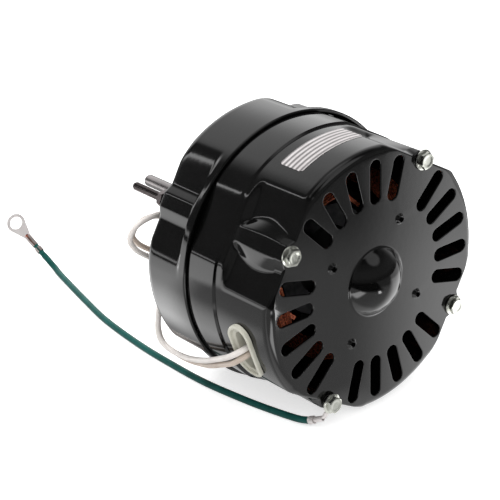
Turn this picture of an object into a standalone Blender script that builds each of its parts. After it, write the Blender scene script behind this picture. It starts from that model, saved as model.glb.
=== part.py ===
"""Combustion fan motor: two stamped steel shells, shaded pole stator, rotor, shaft, studs and leads.

Metres, +Z up. The shaft lies along Y, the vented face looks towards -Y and the origin is where
the shaft's axis meets the rear mounting face.
"""
import math

import bmesh
import bpy
from mathutils import Matrix, Vector

mm = 0.001

# Driving dimensions of the body
BODY_LENGTH = 85.0 * mm
BOLT_RADIUS = 58.8 * mm
BOLT_ANGLE = 62.5
LOBE_RADIUS = 64.0 * mm
SKIRT_RADIUS = 65.0 * mm
REAR_RADIUS = 66.6 * mm
SHELL_WALL = 0.9 * mm
FIT_GAP = 0.3 * mm

# Depths behind the vented face
POCKET_END = 31.0 * mm
SHOULDER = 37.0 * mm
JOGGLE_START = 53.0 * mm
SEAM = 55.0 * mm
SKIRT_END = 58.0 * mm
RIM_END = 59.0 * mm

# Bends from the end faces to the sides, on the lobes and on the flats
FACE_CORNER = 4.0 * mm
FACE_FLAT_CORNER = 1.2 * mm
REAR_CORNER = 8.0 * mm
REAR_FLAT_CORNER = 3.0 * mm

# Flats pressed into both shells at each bolt, with a rib over the bolt
FRONT_FLAT = 58.9 * mm
FRONT_CREST = 62.6 * mm
REAR_FLAT = 61.3 * mm
REAR_CREST = 63.8 * mm
RIB_TOP = 3.0 * mm
RIB_FOOT = 7.5 * mm
RIB_SWELL = 4.0 * mm
SKIRT_FLAT = 14.0
JOGGLE = 0.9 * mm

# Vented faces
SLOT_INNER = 38.0 * mm
SLOT_OUTER = 59.0 * mm
REAR_SLOT_OUTER = 57.0 * mm
SLOT_WIDTH = 6.5 * mm
SLOT_STEP = 15
DIMPLE_RADIUS = 30.3 * mm
DIMPLE_MOUTH = 2.0 * mm
DIMPLE_DEPTH = 0.6 * mm
RECESS_MOUTH = 18.2 * mm
RECESS_FLOOR = 12.0 * mm
RECESS_DEPTH = 14.0 * mm

# Rear hub
HUB_RADIUS = 14.0 * mm
HUB_HEIGHT = 7.0 * mm
HUB_HOLE = 4.6 * mm

# Stator, rotor and shaft
STACK_START = 38.5 * mm
STACK_END = 66.5 * mm
STACK_RADIUS = 62.8 * mm
STACK_FLAT = 59.9 * mm
YOKE_INNER = 54.0 * mm
BORE_RADIUS = 28.8 * mm
POLE_COUNT = 4
POLE_HALF = 17.0 * mm
SHOE_BACK = 34.5 * mm
SHOE_HALF_ANGLE = 39.0
SLIT_ANGLE = 23.0
SLIT_WIDTH = 3.0 * mm
ROTOR_RADIUS = 28.1 * mm
END_RING_LENGTH = 5.0 * mm
SHAFT_RADIUS = 3.175 * mm
SHAFT_START = 17.0 * mm
SHAFT_END = 170.0 * mm
SLEEVE_LENGTH = 13.5 * mm

# Windings
COIL_LOOPS = 3
COIL_POINTS = 24
COIL_WIRE = 3.1 * mm
COIL_PITCH = 3.7 * mm
COIL_INNER = 36.4 * mm
COIL_HALF_WIDTH = 20.5 * mm
COIL_OVERHANG = 14.0 * mm
COIL_SQUARENESS = 0.45

# Fasteners
STUD_RADIUS = 2.08 * mm
STUD_END = 110.0 * mm
SHORT_BOLT_END = 91.0 * mm
LONG_STUDS = (1, 3)
WASHER_RADIUS = 4.9 * mm
WASHER_THICK = 1.0 * mm
HEX_FLATS = 7.2 * mm
HEX_HEIGHT = 3.2 * mm
NUT_FLATS = 8.0 * mm
NUT_HEIGHT = 3.0 * mm

# Leads
LEAD_RADIUS = 1.4 * mm
GROUND_RADIUS = 1.4 * mm
LEAD_STEP = 7.0 * mm
GROMMET_ANGLE = 201.5
GROMMET_DEPTH = 20.0 * mm
GROMMET_LONG = 30.0 * mm
GROMMET_WIDE = 15.0 * mm
LUG_THICK = 0.8 * mm
RING_RADIUS = 5.4 * mm
RING_HOLE = 3.6 * mm
RING_REACH = 10.5 * mm
RING_TILT = Vector((-0.59, -0.70, 0.39))
BARREL_RADIUS = 2.0 * mm
BARREL_LENGTH = 15.2 * mm

PARTS = "combustion_fan_motor"
CUTTERS = "cutters"


# Scene helpers
def clear_scene():
    for obj in list(bpy.data.objects):
        bpy.data.objects.remove(obj, do_unlink=True)


def collection(name):
    found = bpy.data.collections.get(name)
    if found is None:
        found = bpy.data.collections.new(name)
        bpy.context.scene.collection.children.link(found)
    return found


def material(name, colour, roughness, metallic):
    mat = bpy.data.materials.new(name)
    mat.use_nodes = True
    shader = mat.node_tree.nodes["Principled BSDF"]
    shader.inputs["Base Color"].default_value = (*colour, 1.0)
    shader.inputs["Roughness"].default_value = roughness
    shader.inputs["Metallic"].default_value = metallic
    return mat


def add_object(name, data, mat=None, where=PARTS):
    obj = bpy.data.objects.new(name, data)
    if mat is not None:
        data.materials.append(mat)
    collection(where).objects.link(obj)
    return obj


def cutter(name, mesh):
    obj = add_object(name, mesh, where=CUTTERS)
    obj.hide_render = True
    obj.display_type = "WIRE"
    return obj


def boolean(obj, tool, operation):
    mod = obj.modifiers.new(operation.lower(), "BOOLEAN")
    mod.operation = operation
    mod.object = tool


def evaluated_mesh(obj, name):
    graph = bpy.context.evaluated_depsgraph_get()
    mesh = bpy.data.meshes.new_from_object(obj.evaluated_get(graph))
    mesh.name = name
    work = bmesh.new()
    work.from_mesh(mesh)
    bmesh.ops.remove_doubles(work, verts=work.verts, dist=0.00001)
    work.to_mesh(mesh)
    work.free()
    return mesh


def baked(name, obj, mat):
    """The evaluated form of an object as a plain mesh, in place of the object."""
    mesh = evaluated_mesh(obj, name)
    matrix = obj.matrix_world.copy()
    bpy.data.objects.remove(obj, do_unlink=True)
    mesh.materials.clear()
    made = add_object(name, mesh, mat)
    made.matrix_world = matrix
    return made


def smooth(mesh, angle=35.0):
    mesh.shade_smooth()
    mesh.set_sharp_from_angle(angle=math.radians(angle))


# Geometry helpers
def depth(value):
    """World Y of a depth behind the vented face."""
    return value - BODY_LENGTH


def polar(radius, angle, level):
    turn = math.radians(angle)
    return Vector((radius * math.cos(turn), level, radius * math.sin(turn)))


def ramp(value, low, high):
    share = min(1.0, max(0.0, (value - low) / (high - low)))
    return share * share * (3.0 - 2.0 * share)


def bolt_angle(index):
    return BOLT_ANGLE + 90.0 * index


def from_bolt(angle):
    """Angle from the nearest bolt, -45 to 45 degrees."""
    return (angle - BOLT_ANGLE + 45.0) % 90.0 - 45.0


def smooth_route(points, step):
    """Points at an even step along a smooth curve through the route's own points."""
    knots = [Vector(p) * mm for p in points]
    ends = [2 * knots[0] - knots[1]] + knots + [2 * knots[-1] - knots[-2]]
    fine = []
    for a, b, c, d in zip(ends, ends[1:], ends[2:], ends[3:]):
        for k in range(24):
            t = k / 24
            fine.append(0.5 * (2 * b + (c - a) * t + (2 * a - 5 * b + 4 * c - d) * t ** 2
                               + (3 * b - a - 3 * c + d) * t ** 3))
    fine.append(knots[-1])
    reach = [0.0]
    for a, b in zip(fine, fine[1:]):
        reach.append(reach[-1] + (b - a).length)
    count = max(2, round(reach[-1] / step))
    even = []
    seg = 0
    for k in range(count + 1):
        want = reach[-1] * k / count
        while seg < len(fine) - 2 and reach[seg + 1] < want:
            seg += 1
        share = (want - reach[seg]) / max(reach[seg + 1] - reach[seg], 1e-9)
        even.append(fine[seg].lerp(fine[seg + 1], min(1.0, max(0.0, share))))
    return even, reach[-1]


def tube(name, points, radius, mat, resolution):
    data = bpy.data.curves.new(name, "CURVE")
    data.dimensions = "3D"
    data.bevel_depth = radius
    data.bevel_resolution = resolution
    data.use_fill_caps = True
    spline = data.splines.new("POLY")
    spline.points.add(len(points) - 1)
    for point, place in zip(spline.points, points):
        point.co = (*place, 1.0)
    return baked(name, add_object(name, data), mat)


def turned(name, profile, mat, steps=32):
    """A profile of (radius, depth) points turned about the shaft's axis.

    The profile runs from the rear to the front along its outer side.
    """
    mesh = bpy.data.meshes.new(name)
    work = bmesh.new()
    verts = [work.verts.new((r, 0.0, depth(t))) for r, t in profile]
    for a, b in zip(verts, verts[1:]):
        work.edges.new((a, b))
    if profile[0][0] > 0.0:
        work.edges.new((verts[-1], verts[0]))
    work.to_mesh(mesh)
    work.free()
    obj = add_object(name, mesh)
    obj.rotation_euler = (math.radians(-90.0), 0.0, 0.0)
    screw = obj.modifiers.new("turn", "SCREW")
    screw.axis = "Z"
    screw.steps = steps
    screw.render_steps = steps
    screw.use_merge_vertices = True
    screw.merge_threshold = 0.00001
    screw.use_normal_calculate = False
    bpy.context.view_layer.update()
    made = baked(name, obj, mat)
    smooth(made.data)
    return made


def ring(name, inner, outer, start, end, mat, steps=32):
    return turned(name, [(inner, end), (outer, end), (outer, start), (inner, start)], mat, steps)


def prism(name, outlines, thickness, mat=None, where=PARTS):
    """Flat outlines in local X and Y, the later ones as holes, given a thickness along local Z."""
    data = bpy.data.curves.new(name, "CURVE")
    data.dimensions = "2D"
    data.fill_mode = "BOTH"
    data.extrude = thickness / 2
    for outline in outlines:
        spline = data.splines.new("POLY")
        spline.points.add(len(outline) - 1)
        spline.use_cyclic_u = True
        for point, place in zip(spline.points, outline):
            point.co = (place[0], place[1], 0.0, 1.0)
    obj = add_object(name, data, where=where)
    bpy.context.view_layer.update()
    mesh = evaluated_mesh(obj, name)
    bpy.data.objects.remove(obj, do_unlink=True)
    if where == CUTTERS:
        return cutter(name, mesh)
    return add_object(name, mesh, mat)


def stadium(long, wide, segments=4):
    """A slot outline, long along local X, with round ends."""
    half = (long - wide) / 2
    points = []
    for end in (1, -1):
        for k in range(segments + 1):
            turn = math.radians(90.0 * -end + 180.0 * k / segments) if end > 0 else \
                math.radians(90.0 + 180.0 * k / segments)
            points.append((end * half + wide / 2 * math.cos(turn), wide / 2 * math.sin(turn)))
    return points


def circle(radius, segments, turn=0.0):
    step = 2 * math.pi / segments
    return [(radius * math.cos(turn + k * step), radius * math.sin(turn + k * step)) for k in range(segments)]


def facing(angle, radius, level):
    """Local Z out along a radius, local X along the circumference, local Y along the shaft."""
    turn = math.radians(angle)
    out = Vector((math.cos(turn), 0.0, math.sin(turn)))
    along = Vector((0.0, 1.0, 0.0))
    around = along.cross(out)
    matrix = Matrix((around, along, out)).transposed().to_4x4()
    matrix.translation = out * radius + along * level
    return matrix


def flat_to_axis(level, angle=0.0):
    """Local X along a radius at the angle, local Z towards the vented face."""
    turn = math.radians(angle)
    out = Vector((math.cos(turn), 0.0, math.sin(turn)))
    front = Vector((0.0, -1.0, 0.0))
    side = front.cross(out)
    matrix = Matrix((out, side, front)).transposed().to_4x4()
    matrix.translation = Vector((0.0, level, 0.0))
    return matrix


# Stamped shells
def ring_angles(half):
    """Angles round a shell: the same steps each side of every bolt, and one midway between bolts."""
    offsets = [-45.0] + [-v for v in reversed(half)] + [0.0] + list(half)
    return [bolt_angle(k) + v for k in range(4) for v in offsets]


def crease(flat, lobe):
    """Angle from the bolt at which a flat meets the lobe."""
    return math.degrees(math.acos(flat / lobe))


def flattened(angle, lobe, flat, crest, foot):
    """Radius of a lobe cut by the flat at the nearest bolt, with a rib that stands on the flat."""
    turn = math.radians(abs(from_bolt(angle)))
    rib = (crest - flat) * (1.0 - ramp(flat * math.tan(turn), RIB_TOP, foot))
    return min(lobe, flat / math.cos(turn) + rib)


def front_radius(angle, level):
    """Outer radius of the front shell: flats with ribs, then the shoulder, the skirt and its stepped rim."""
    lobe = LOBE_RADIUS + (SKIRT_RADIUS - LOBE_RADIUS) * ramp(level, SHOULDER - 0.8 * mm, SHOULDER)
    turn = math.radians(from_bolt(angle))
    skirt = min(lobe, lobe * math.cos(math.radians(SKIRT_FLAT)) / math.cos(turn))
    skirt -= JOGGLE * ramp(level, JOGGLE_START, JOGGLE_START + 1.0 * mm)
    foot = RIB_FOOT + RIB_SWELL * math.sin(math.pi * min(1.0, level / POCKET_END))
    pocket = flattened(angle, lobe, FRONT_FLAT, FRONT_CREST, foot)
    return pocket + (skirt - pocket) * ramp(level, POCKET_END - 2.0 * mm, POCKET_END + 2.0 * mm)


def rear_radius(angle, level):
    """Outer radius of the rear shell: a round rim at the seam, then flats with ribs."""
    pocket = flattened(angle, REAR_RADIUS, REAR_FLAT, REAR_CREST, RIB_FOOT)
    return REAR_RADIUS + (pocket - REAR_RADIUS) * ramp(level, RIM_END, RIM_END + 2.5 * mm)


def corner_at(angle, lobe_corner, flat_corner):
    """Bend radius from an end face to the side: tight on the flats, wide on the lobes."""
    return flat_corner + (lobe_corner - flat_corner) * ramp(abs(from_bolt(angle)), 16.0, 26.0)


def corner_rows(radius_at, face, away, lobe_corner, flat_corner, angles, turns):
    """Rows round the bend, from the end face's edge to the side."""
    rows = []
    for turn in turns:
        bend = math.radians(turn)
        row = []
        for a in angles:
            corner = corner_at(a, lobe_corner, flat_corner)
            radius = radius_at(a, face) - corner * (1.0 - math.sin(bend))
            row.append(polar(radius, a, depth(face + away * corner * (1.0 - math.cos(bend)))))
        rows.append(row)
    return rows


def skin(name, rows, mat, wall, flip):
    """An open surface through rows of points, closed at its middle, with a wall thickness inwards."""
    mesh = bpy.data.meshes.new(name)
    work = bmesh.new()
    loops = [[work.verts.new(p) for p in row] for row in rows]
    count = len(loops[0])
    for low, high in zip(loops, loops[1:]):
        for k in range(count):
            nxt = (k + 1) % count
            quad = (low[k], low[nxt], high[nxt], high[k])
            work.faces.new(quad if flip else quad[::-1])
    work.to_mesh(mesh)
    work.free()
    obj = add_object(name, mesh, mat)
    solid = obj.modifiers.new("wall", "SOLIDIFY")
    solid.thickness = wall
    solid.offset = -1.0
    solid.use_even_offset = True
    return obj


def round_row(radius, level, angles):
    return [polar(radius, a, depth(level)) for a in angles]


def slot_cutter(name, angles, outer, level):
    """Radial slots in one cutter, cut through an end face."""
    work = bmesh.new()
    for angle in angles:
        outline = stadium(outer - SLOT_INNER, SLOT_WIDTH)
        place = flat_to_axis(depth(level), angle)
        middle = (outer + SLOT_INNER) / 2
        low = [work.verts.new(place @ Vector((x + middle, y, -3.0 * mm))) for x, y in outline]
        high = [work.verts.new(place @ Vector((x + middle, y, 3.0 * mm))) for x, y in outline]
        work.faces.new(low[::-1])
        work.faces.new(high)
        for k in range(len(outline)):
            nxt = (k + 1) % len(outline)
            work.faces.new((low[k], low[nxt], high[nxt], high[k]))
    mesh = bpy.data.meshes.new(name)
    work.to_mesh(mesh)
    work.free()
    return cutter(name, mesh)


def peg_cutter(name, places, radius, half_length, segments):
    """Round pegs along the shaft's direction in one cutter."""
    work = bmesh.new()
    for place in places:
        spin = Matrix.Translation(place) @ Matrix.Rotation(math.radians(90.0), 4, "X")
        bmesh.ops.create_cone(work, cap_ends=True, segments=segments, radius1=radius, radius2=radius,
                              depth=2 * half_length, matrix=spin)
    mesh = bpy.data.meshes.new(name)
    work.to_mesh(mesh)
    work.free()
    return cutter(name, mesh)


def dimple_cutter(name, places):
    """Balls in one cutter that press shallow dishes into the vented face."""
    ball = (DIMPLE_MOUTH ** 2 + DIMPLE_DEPTH ** 2) / (2 * DIMPLE_DEPTH)
    work = bmesh.new()
    for place in places:
        lifted = place + Vector((0.0, DIMPLE_DEPTH - ball, 0.0))
        spin = Matrix.Translation(lifted) @ Matrix.Rotation(math.radians(90.0), 4, "X")
        bmesh.ops.create_uvsphere(work, u_segments=12, v_segments=10, radius=ball, matrix=spin)
    mesh = bpy.data.meshes.new(name)
    work.to_mesh(mesh)
    work.free()
    return cutter(name, mesh)


def grommet_frame():
    return facing(GROMMET_ANGLE, LOBE_RADIUS, depth(GROMMET_DEPTH))


def build_front_shell(mat):
    angles = ring_angles((3.0, 7.2, 11.0, SKIRT_FLAT, 18.5, crease(FRONT_FLAT, LOBE_RADIUS), 33.0))
    rows = [round_row(RECESS_FLOOR * 0.5, RECESS_DEPTH, angles),
            round_row(RECESS_FLOOR, RECESS_DEPTH, angles)]
    for share in (0.4, 0.85):
        radius = RECESS_FLOOR + (RECESS_MOUTH - 3.2 * mm - RECESS_FLOOR) * share ** 2
        rows.append(round_row(radius + 0.6 * mm * share, RECESS_DEPTH * (1.0 - share * 0.82), angles))
    rows.append(round_row(RECESS_MOUTH - 1.6 * mm, 0.8 * mm, angles))
    rows.append(round_row(RECESS_MOUTH, 0.0, angles))
    rows += corner_rows(front_radius, 0.0, 1.0, FACE_CORNER, FACE_FLAT_CORNER, angles, (0.0, 35.0, 90.0))
    levels = (POCKET_END / 2, POCKET_END - 2.0 * mm, POCKET_END + 2.0 * mm, SHOULDER - 0.8 * mm, SHOULDER,
              JOGGLE_START, JOGGLE_START + 1.0 * mm, SKIRT_END)
    for level in levels:
        rows.append([polar(front_radius(a, level), a, depth(level)) for a in angles])
    shell = skin("front_shell", rows, mat, SHELL_WALL, flip=False)
    floor = peg_cutter("recess_closing", [Vector((0.0, depth(RECESS_DEPTH + SHELL_WALL / 2), 0.0))],
                       RECESS_FLOOR * 0.75, SHELL_WALL / 2, 40)
    boolean(shell, floor, "UNION")
    slots = [a for a in range(0, 360, SLOT_STEP) if a % 90 != 0]
    slots = slot_cutter("front_slots", [BOLT_ANGLE + a for a in slots], SLOT_OUTER, 0.0)
    boolean(shell, slots, "DIFFERENCE")
    holes = [polar(BOLT_RADIUS, bolt_angle(k), depth(0.0)) for k in range(4)]
    boolean(shell, peg_cutter("front_bolt_holes", holes, STUD_RADIUS + FIT_GAP, 4.0 * mm, 14), "DIFFERENCE")
    dimples = [polar(DIMPLE_RADIUS, bolt_angle(k), depth(0.0)) for k in range(4)]
    boolean(shell, dimple_cutter("face_dimples", dimples), "DIFFERENCE")
    window = prism("grommet_window", [stadium(GROMMET_LONG - 3.0 * mm, GROMMET_WIDE - 3.0 * mm, 8)],
                   12.0 * mm, where=CUTTERS)
    window.matrix_world = grommet_frame()
    boolean(shell, window, "DIFFERENCE")
    smooth(shell.data)
    return shell


def build_rear_shell(mat):
    angles = ring_angles((3.0, 7.0, 14.0, crease(REAR_FLAT, REAR_RADIUS), 34.0))
    hub_top = BODY_LENGTH + HUB_HEIGHT
    rows = [round_row(HUB_HOLE, hub_top, angles),
            round_row(HUB_RADIUS - 2.0 * mm, hub_top, angles),
            round_row(HUB_RADIUS, hub_top - 2.0 * mm, angles),
            round_row(HUB_RADIUS + 0.5 * mm, BODY_LENGTH + 1.0 * mm, angles),
            round_row(HUB_RADIUS + 2.0 * mm, BODY_LENGTH, angles)]
    rows += corner_rows(rear_radius, BODY_LENGTH, -1.0, REAR_CORNER, REAR_FLAT_CORNER, angles,
                        (0.0, 35.0, 65.0, 90.0))
    for level in (RIM_END + 2.5 * mm, RIM_END, SEAM):
        rows.append([polar(rear_radius(a, level), a, depth(level)) for a in angles])
    shell = skin("rear_shell", rows, mat, SHELL_WALL, flip=True)
    slots = [bolt_angle(k) + v for k in range(4) for v in (30.0, 60.0)]
    boolean(shell, slot_cutter("rear_slots", slots, REAR_SLOT_OUTER, BODY_LENGTH), "DIFFERENCE")
    holes = [polar(BOLT_RADIUS, bolt_angle(k), depth(BODY_LENGTH - 2.0 * mm)) for k in range(4)]
    boolean(shell, peg_cutter("rear_bolt_holes", holes, STUD_RADIUS + FIT_GAP, 6.0 * mm, 14), "DIFFERENCE")
    smooth(shell.data)
    return shell


# Stator and rotor
def pole_angle(index):
    return BOLT_ANGLE + 45.0 + 90.0 * index


def at(radius, angle):
    turn = math.radians(angle)
    return (radius * math.cos(turn), radius * math.sin(turn))


def arc(radius, start, end, count):
    return [at(radius, start + (end - start) * k / count) for k in range(count + 1)]


def pole_contour(centre):
    """Half-open contour of one pole: shoe face with its slit, shoe back, neck and half the yoke each side."""
    slit = math.degrees(SLIT_WIDTH / BORE_RADIUS) / 2
    neck = math.degrees(math.asin(POLE_HALF / SHOE_BACK))
    root = math.degrees(math.asin(POLE_HALF / YOKE_INNER))
    slit_top = BORE_RADIUS + 3.4 * mm
    points = arc(YOKE_INNER, centre - 45.0, centre - root, 3)[1:]
    points += [at(SHOE_BACK, centre - neck), at(SHOE_BACK, centre - SHOE_HALF_ANGLE + 2.0)]
    points += arc(BORE_RADIUS, centre - SHOE_HALF_ANGLE, centre + SLIT_ANGLE - slit, 8)
    points += [at(slit_top, centre + SLIT_ANGLE - slit), at(slit_top, centre + SLIT_ANGLE + slit)]
    points += arc(BORE_RADIUS, centre + SLIT_ANGLE + slit, centre + SHOE_HALF_ANGLE, 2)
    points += [at(SHOE_BACK, centre + SHOE_HALF_ANGLE - 2.0), at(SHOE_BACK, centre + neck)]
    points += arc(YOKE_INNER, centre + root, centre + 45.0, 3)
    return points


def build_stator_core(mat):
    edge = crease(STACK_FLAT, STACK_RADIUS)
    outer = []
    for k in range(4):
        outer += arc(STACK_RADIUS, bolt_angle(k) + edge, bolt_angle(k) + 90.0 - edge, 8)
    inner = [p for k in range(POLE_COUNT) for p in pole_contour(pole_angle(k))]
    core = prism("stator_core", [outer, inner], STACK_END - STACK_START, mat)
    core.matrix_world = Matrix.Translation((0.0, depth((STACK_START + STACK_END) / 2), 0.0)) @ \
        Matrix.Rotation(math.radians(90.0), 4, "X")
    holes = [polar(BOLT_RADIUS, bolt_angle(k), depth((STACK_START + STACK_END) / 2)) for k in range(4)]
    notch = peg_cutter("bolt_notches", holes, STUD_RADIUS + 1.0 * mm, STACK_END - STACK_START, 14)
    boolean(core, notch, "DIFFERENCE")
    smooth(core.data)
    return core


def signed_power(value, power):
    return math.copysign(abs(value) ** power, value)


def coil_points(index):
    """A coil of square-cornered loops round one pole, one unbroken run that climbs along the radius."""
    half_length = (STACK_END - STACK_START) / 2 + COIL_OVERHANG
    middle = depth((STACK_START + STACK_END) / 2)
    points = []
    for k in range(COIL_LOOPS * COIL_POINTS + 1):
        turn = 2 * math.pi * k / COIL_POINTS
        x = COIL_HALF_WIDTH * signed_power(math.cos(turn), COIL_SQUARENESS)
        y = half_length * signed_power(math.sin(turn), COIL_SQUARENESS)
        radius = COIL_INNER + COIL_PITCH * k / COIL_POINTS
        points.append(facing(pole_angle(index), radius, middle) @ Vector((x, y, 0.0)))
    return points


def coil_gap(points):
    """Least clear distance between one loop of a coil and the others."""
    least = 1.0
    for i, a in enumerate(points):
        for b in points[i + COIL_POINTS // 2:]:
            least = min(least, (a - b).length)
    return least - COIL_WIRE


def build_windings(mat):
    for index in range(POLE_COUNT):
        points = coil_points(index)
        made = tube(f"winding_{index + 1}", points, COIL_WIRE / 2, mat, resolution=1)
        smooth(made.data, 60.0)
    print(f"winding least gap to itself {coil_gap(points) / mm:.2f} mm")


def build_shading_ring(index, mat):
    """A closed copper strap round the tip of a pole shoe, through the shoe's slit."""
    wire = 1.8 * mm
    length = STACK_END - STACK_START + 2 * FIT_GAP
    inner = math.radians(SLIT_ANGLE) * BORE_RADIUS + SLIT_WIDTH / 2 - 0.5 * mm
    outer = math.radians(SHOE_HALF_ANGLE) * BORE_RADIUS + 0.2 * mm
    tip = outer - inner
    hole = [(-tip / 2, -length / 2), (tip / 2, -length / 2), (tip / 2, length / 2), (-tip / 2, length / 2)]
    rim = [(x + math.copysign(wire, x), y + math.copysign(wire, y)) for x, y in hole]
    strap = prism(f"shading_ring_{index + 1}", [rim, hole], wire, mat)
    centre = pole_angle(index) + (SLIT_ANGLE + SHOE_HALF_ANGLE) / 2 + 0.9
    strap.matrix_world = facing(centre, BORE_RADIUS + 1.8 * mm, depth((STACK_START + STACK_END) / 2))
    return strap


def bearing_walls():
    """Each end's name, the depth at which its bearing starts and the direction it runs in."""
    front = RECESS_DEPTH + SHELL_WALL + FIT_GAP
    rear = BODY_LENGTH + HUB_HEIGHT - SHELL_WALL - FIT_GAP
    return (("front", front, 1.0), ("rear", rear, -1.0))


def build_rotor(steel, alloy, bright, axle):
    parts = [ring("rotor_core", SHAFT_RADIUS + FIT_GAP, ROTOR_RADIUS, STACK_START, STACK_END, steel, 40)]
    front_start = STACK_START - FIT_GAP - END_RING_LENGTH
    parts.append(ring("rotor_end_ring_front", 17.0 * mm, ROTOR_RADIUS - 1.0 * mm, front_start,
                      STACK_START - FIT_GAP, alloy, 32))
    parts.append(ring("rotor_end_ring_rear", 17.0 * mm, ROTOR_RADIUS - 1.0 * mm, STACK_END + FIT_GAP,
                      STACK_END + FIT_GAP + END_RING_LENGTH, alloy, 32))
    chamfer = 0.8 * mm
    profile = [(0.0, SHAFT_END), (SHAFT_RADIUS - chamfer, SHAFT_END), (SHAFT_RADIUS, SHAFT_END - chamfer),
               (SHAFT_RADIUS, SHAFT_START + chamfer), (SHAFT_RADIUS - chamfer, SHAFT_START),
               (0.0, SHAFT_START)]
    parts.append(turned("shaft", profile, bright, 20))
    inner = SHAFT_RADIUS + FIT_GAP
    for side, wall, sign in bearing_walls():
        near = wall + sign * (SLEEVE_LENGTH + FIT_GAP)
        far = near + sign * 1.0 * mm
        low, high = sorted((near, far))
        parts.append(ring(f"{side}_thrust_washer", inner, 6.0 * mm, low, high, bright, 20))
    for part in parts:
        part.parent = axle
        part.matrix_parent_inverse = axle.matrix_world.inverted()


def build_bearings(bronze, felt, steel):
    """Each end: a bronze sleeve with a rounded back, its felt oil wick and the steel cup that holds them."""
    bore = SHAFT_RADIUS + FIT_GAP
    for side, wall, sign in bearing_walls():
        cup = [(4.6, 0.0), (10.6, 0.0), (10.6, 12.0), (9.8, 12.0), (9.8, 0.8), (4.6, 0.8)]
        wick = [(6.9, 1.1), (9.5, 1.1), (9.5, 11.5), (6.9, 11.5)]
        length = SLEEVE_LENGTH / mm
        sleeve = [(0.0, 1.1), (4.6, 1.1), (6.2, 3.5), (6.6, 7.0), (6.2, 10.5), (5.0, length), (0.0, length)]
        sleeve = [(max(r * mm, bore), t) for r, t in sleeve]
        for name, profile, mat in ((f"{side}_bearing_cup", cup, steel), (f"{side}_oil_wick", wick, felt)):
            points = [(r * mm, wall + sign * t * mm) for r, t in profile]
            turned(name, points if sign < 0 else points[::-1], mat, 20)
        points = [(r, wall + sign * t * mm) for r, t in sleeve]
        turned(f"{side}_bearing", points if sign < 0 else points[::-1], bronze, 20)


# Fasteners
def bolt_mesh(end, lift):
    """A hex washer-head bolt along local Z, its washer face at local zero and its head towards +Z."""
    profile = [(0.0, HEX_HEIGHT * 0.5), (HEX_FLATS * 0.45, HEX_HEIGHT * 0.5), (HEX_FLATS * 0.5, WASHER_THICK),
               (WASHER_RADIUS, WASHER_THICK * 0.7), (WASHER_RADIUS, 0.0), (STUD_RADIUS, 0.0),
               (STUD_RADIUS, -(end + lift) + 0.5 * mm), (STUD_RADIUS - 0.5 * mm, -(end + lift)),
               (0.0, -(end + lift))]
    mesh = bpy.data.meshes.new("bolt_profile")
    work = bmesh.new()
    verts = [work.verts.new((r, 0.0, z)) for r, z in profile]
    for a, b in zip(verts, verts[1:]):
        work.edges.new((a, b))
    work.to_mesh(mesh)
    work.free()
    body = add_object("bolt_body", mesh)
    screw = body.modifiers.new("turn", "SCREW")
    screw.steps = 14
    screw.render_steps = 14
    screw.use_merge_vertices = True
    screw.merge_threshold = 0.00001
    work = bmesh.new()
    across = HEX_FLATS / math.sqrt(3.0)
    bmesh.ops.create_cone(work, cap_ends=True, segments=6, radius1=across, radius2=across,
                          depth=HEX_HEIGHT - WASHER_THICK * 0.5,
                          matrix=Matrix.Translation((0.0, 0.0, (HEX_HEIGHT + WASHER_THICK * 0.5) / 2)))
    head = bpy.data.meshes.new("bolt_hex")
    work.to_mesh(head)
    work.free()
    tool = cutter("bolt_hex", head)
    boolean(body, tool, "UNION")
    bpy.context.view_layer.update()
    made = evaluated_mesh(body, "bolt")
    bpy.data.objects.remove(body, do_unlink=True)
    bpy.data.objects.remove(tool, do_unlink=True)
    smooth(made, 30.0)
    return made


def build_fasteners(zinc):
    for index in range(4):
        under = LUG_THICK + FIT_GAP if index == 2 else 0.0
        lift = FIT_GAP + under
        end = STUD_END if index in LONG_STUDS else SHORT_BOLT_END
        bolt = add_object(f"through_bolt_{index + 1}", bolt_mesh(end, lift), zinc)
        bolt.matrix_world = Matrix.Translation(polar(BOLT_RADIUS, bolt_angle(index), depth(-lift))) @ \
            Matrix.Rotation(math.radians(90.0), 4, "X")
        nut = prism(f"stud_nut_{index + 1}", [circle(NUT_FLATS / math.sqrt(3.0), 6),
                                              circle(STUD_RADIUS + FIT_GAP, 14)], NUT_HEIGHT, zinc)
        level = depth(BODY_LENGTH + FIT_GAP + NUT_HEIGHT / 2)
        nut.matrix_world = Matrix.Translation(polar(BOLT_RADIUS, bolt_angle(index), level)) @ \
            Matrix.Rotation(math.radians(90.0), 4, "X")


# Leads and terminals
WHITE_ROUTE = ((-53.5, -66.0, -19.5), (-59.4, -65.8, -21.1), (-63.6, -64.4, -23.0), (-64.2, -58.5, -27.2),
               (-61.1, -46.5, -34.1), (-58.7, -35.1, -40.0), (-54.8, -20.1, -46.4), (-52.4, -9.0, -49.8),
               (-51.6, 1.0, -50.6), (-52.0, 7.5, -48.6), (-51.4, 11.0, -43.8), (-49.8, 12.4, -36.0),
               (-47.4, 12.8, -25.0), (-46.6, 12.6, -16.5), (-48.8, 12.2, -9.8), (-53.6, 12.0, -5.4),
               (-58.6, 12.0, -2.0), (-63.0, 12.0, 1.8), (-65.8, 12.0, 7.0), (-62.8, 12.0, 12.2),
               (-56.4, 12.0, 14.9), (-47.2, 12.0, 15.4), (-38.0, 13.0, 11.0), (-32.0, 16.0, 1.0),
               (-28.0, 21.0, -13.0), (-24.5, 28.0, -31.0), (-17.0, 36.0, -50.0), (-4.0, 45.0, -61.8),
               (13.0, 51.0, -65.0), (33.0, 51.0, -65.0))
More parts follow.
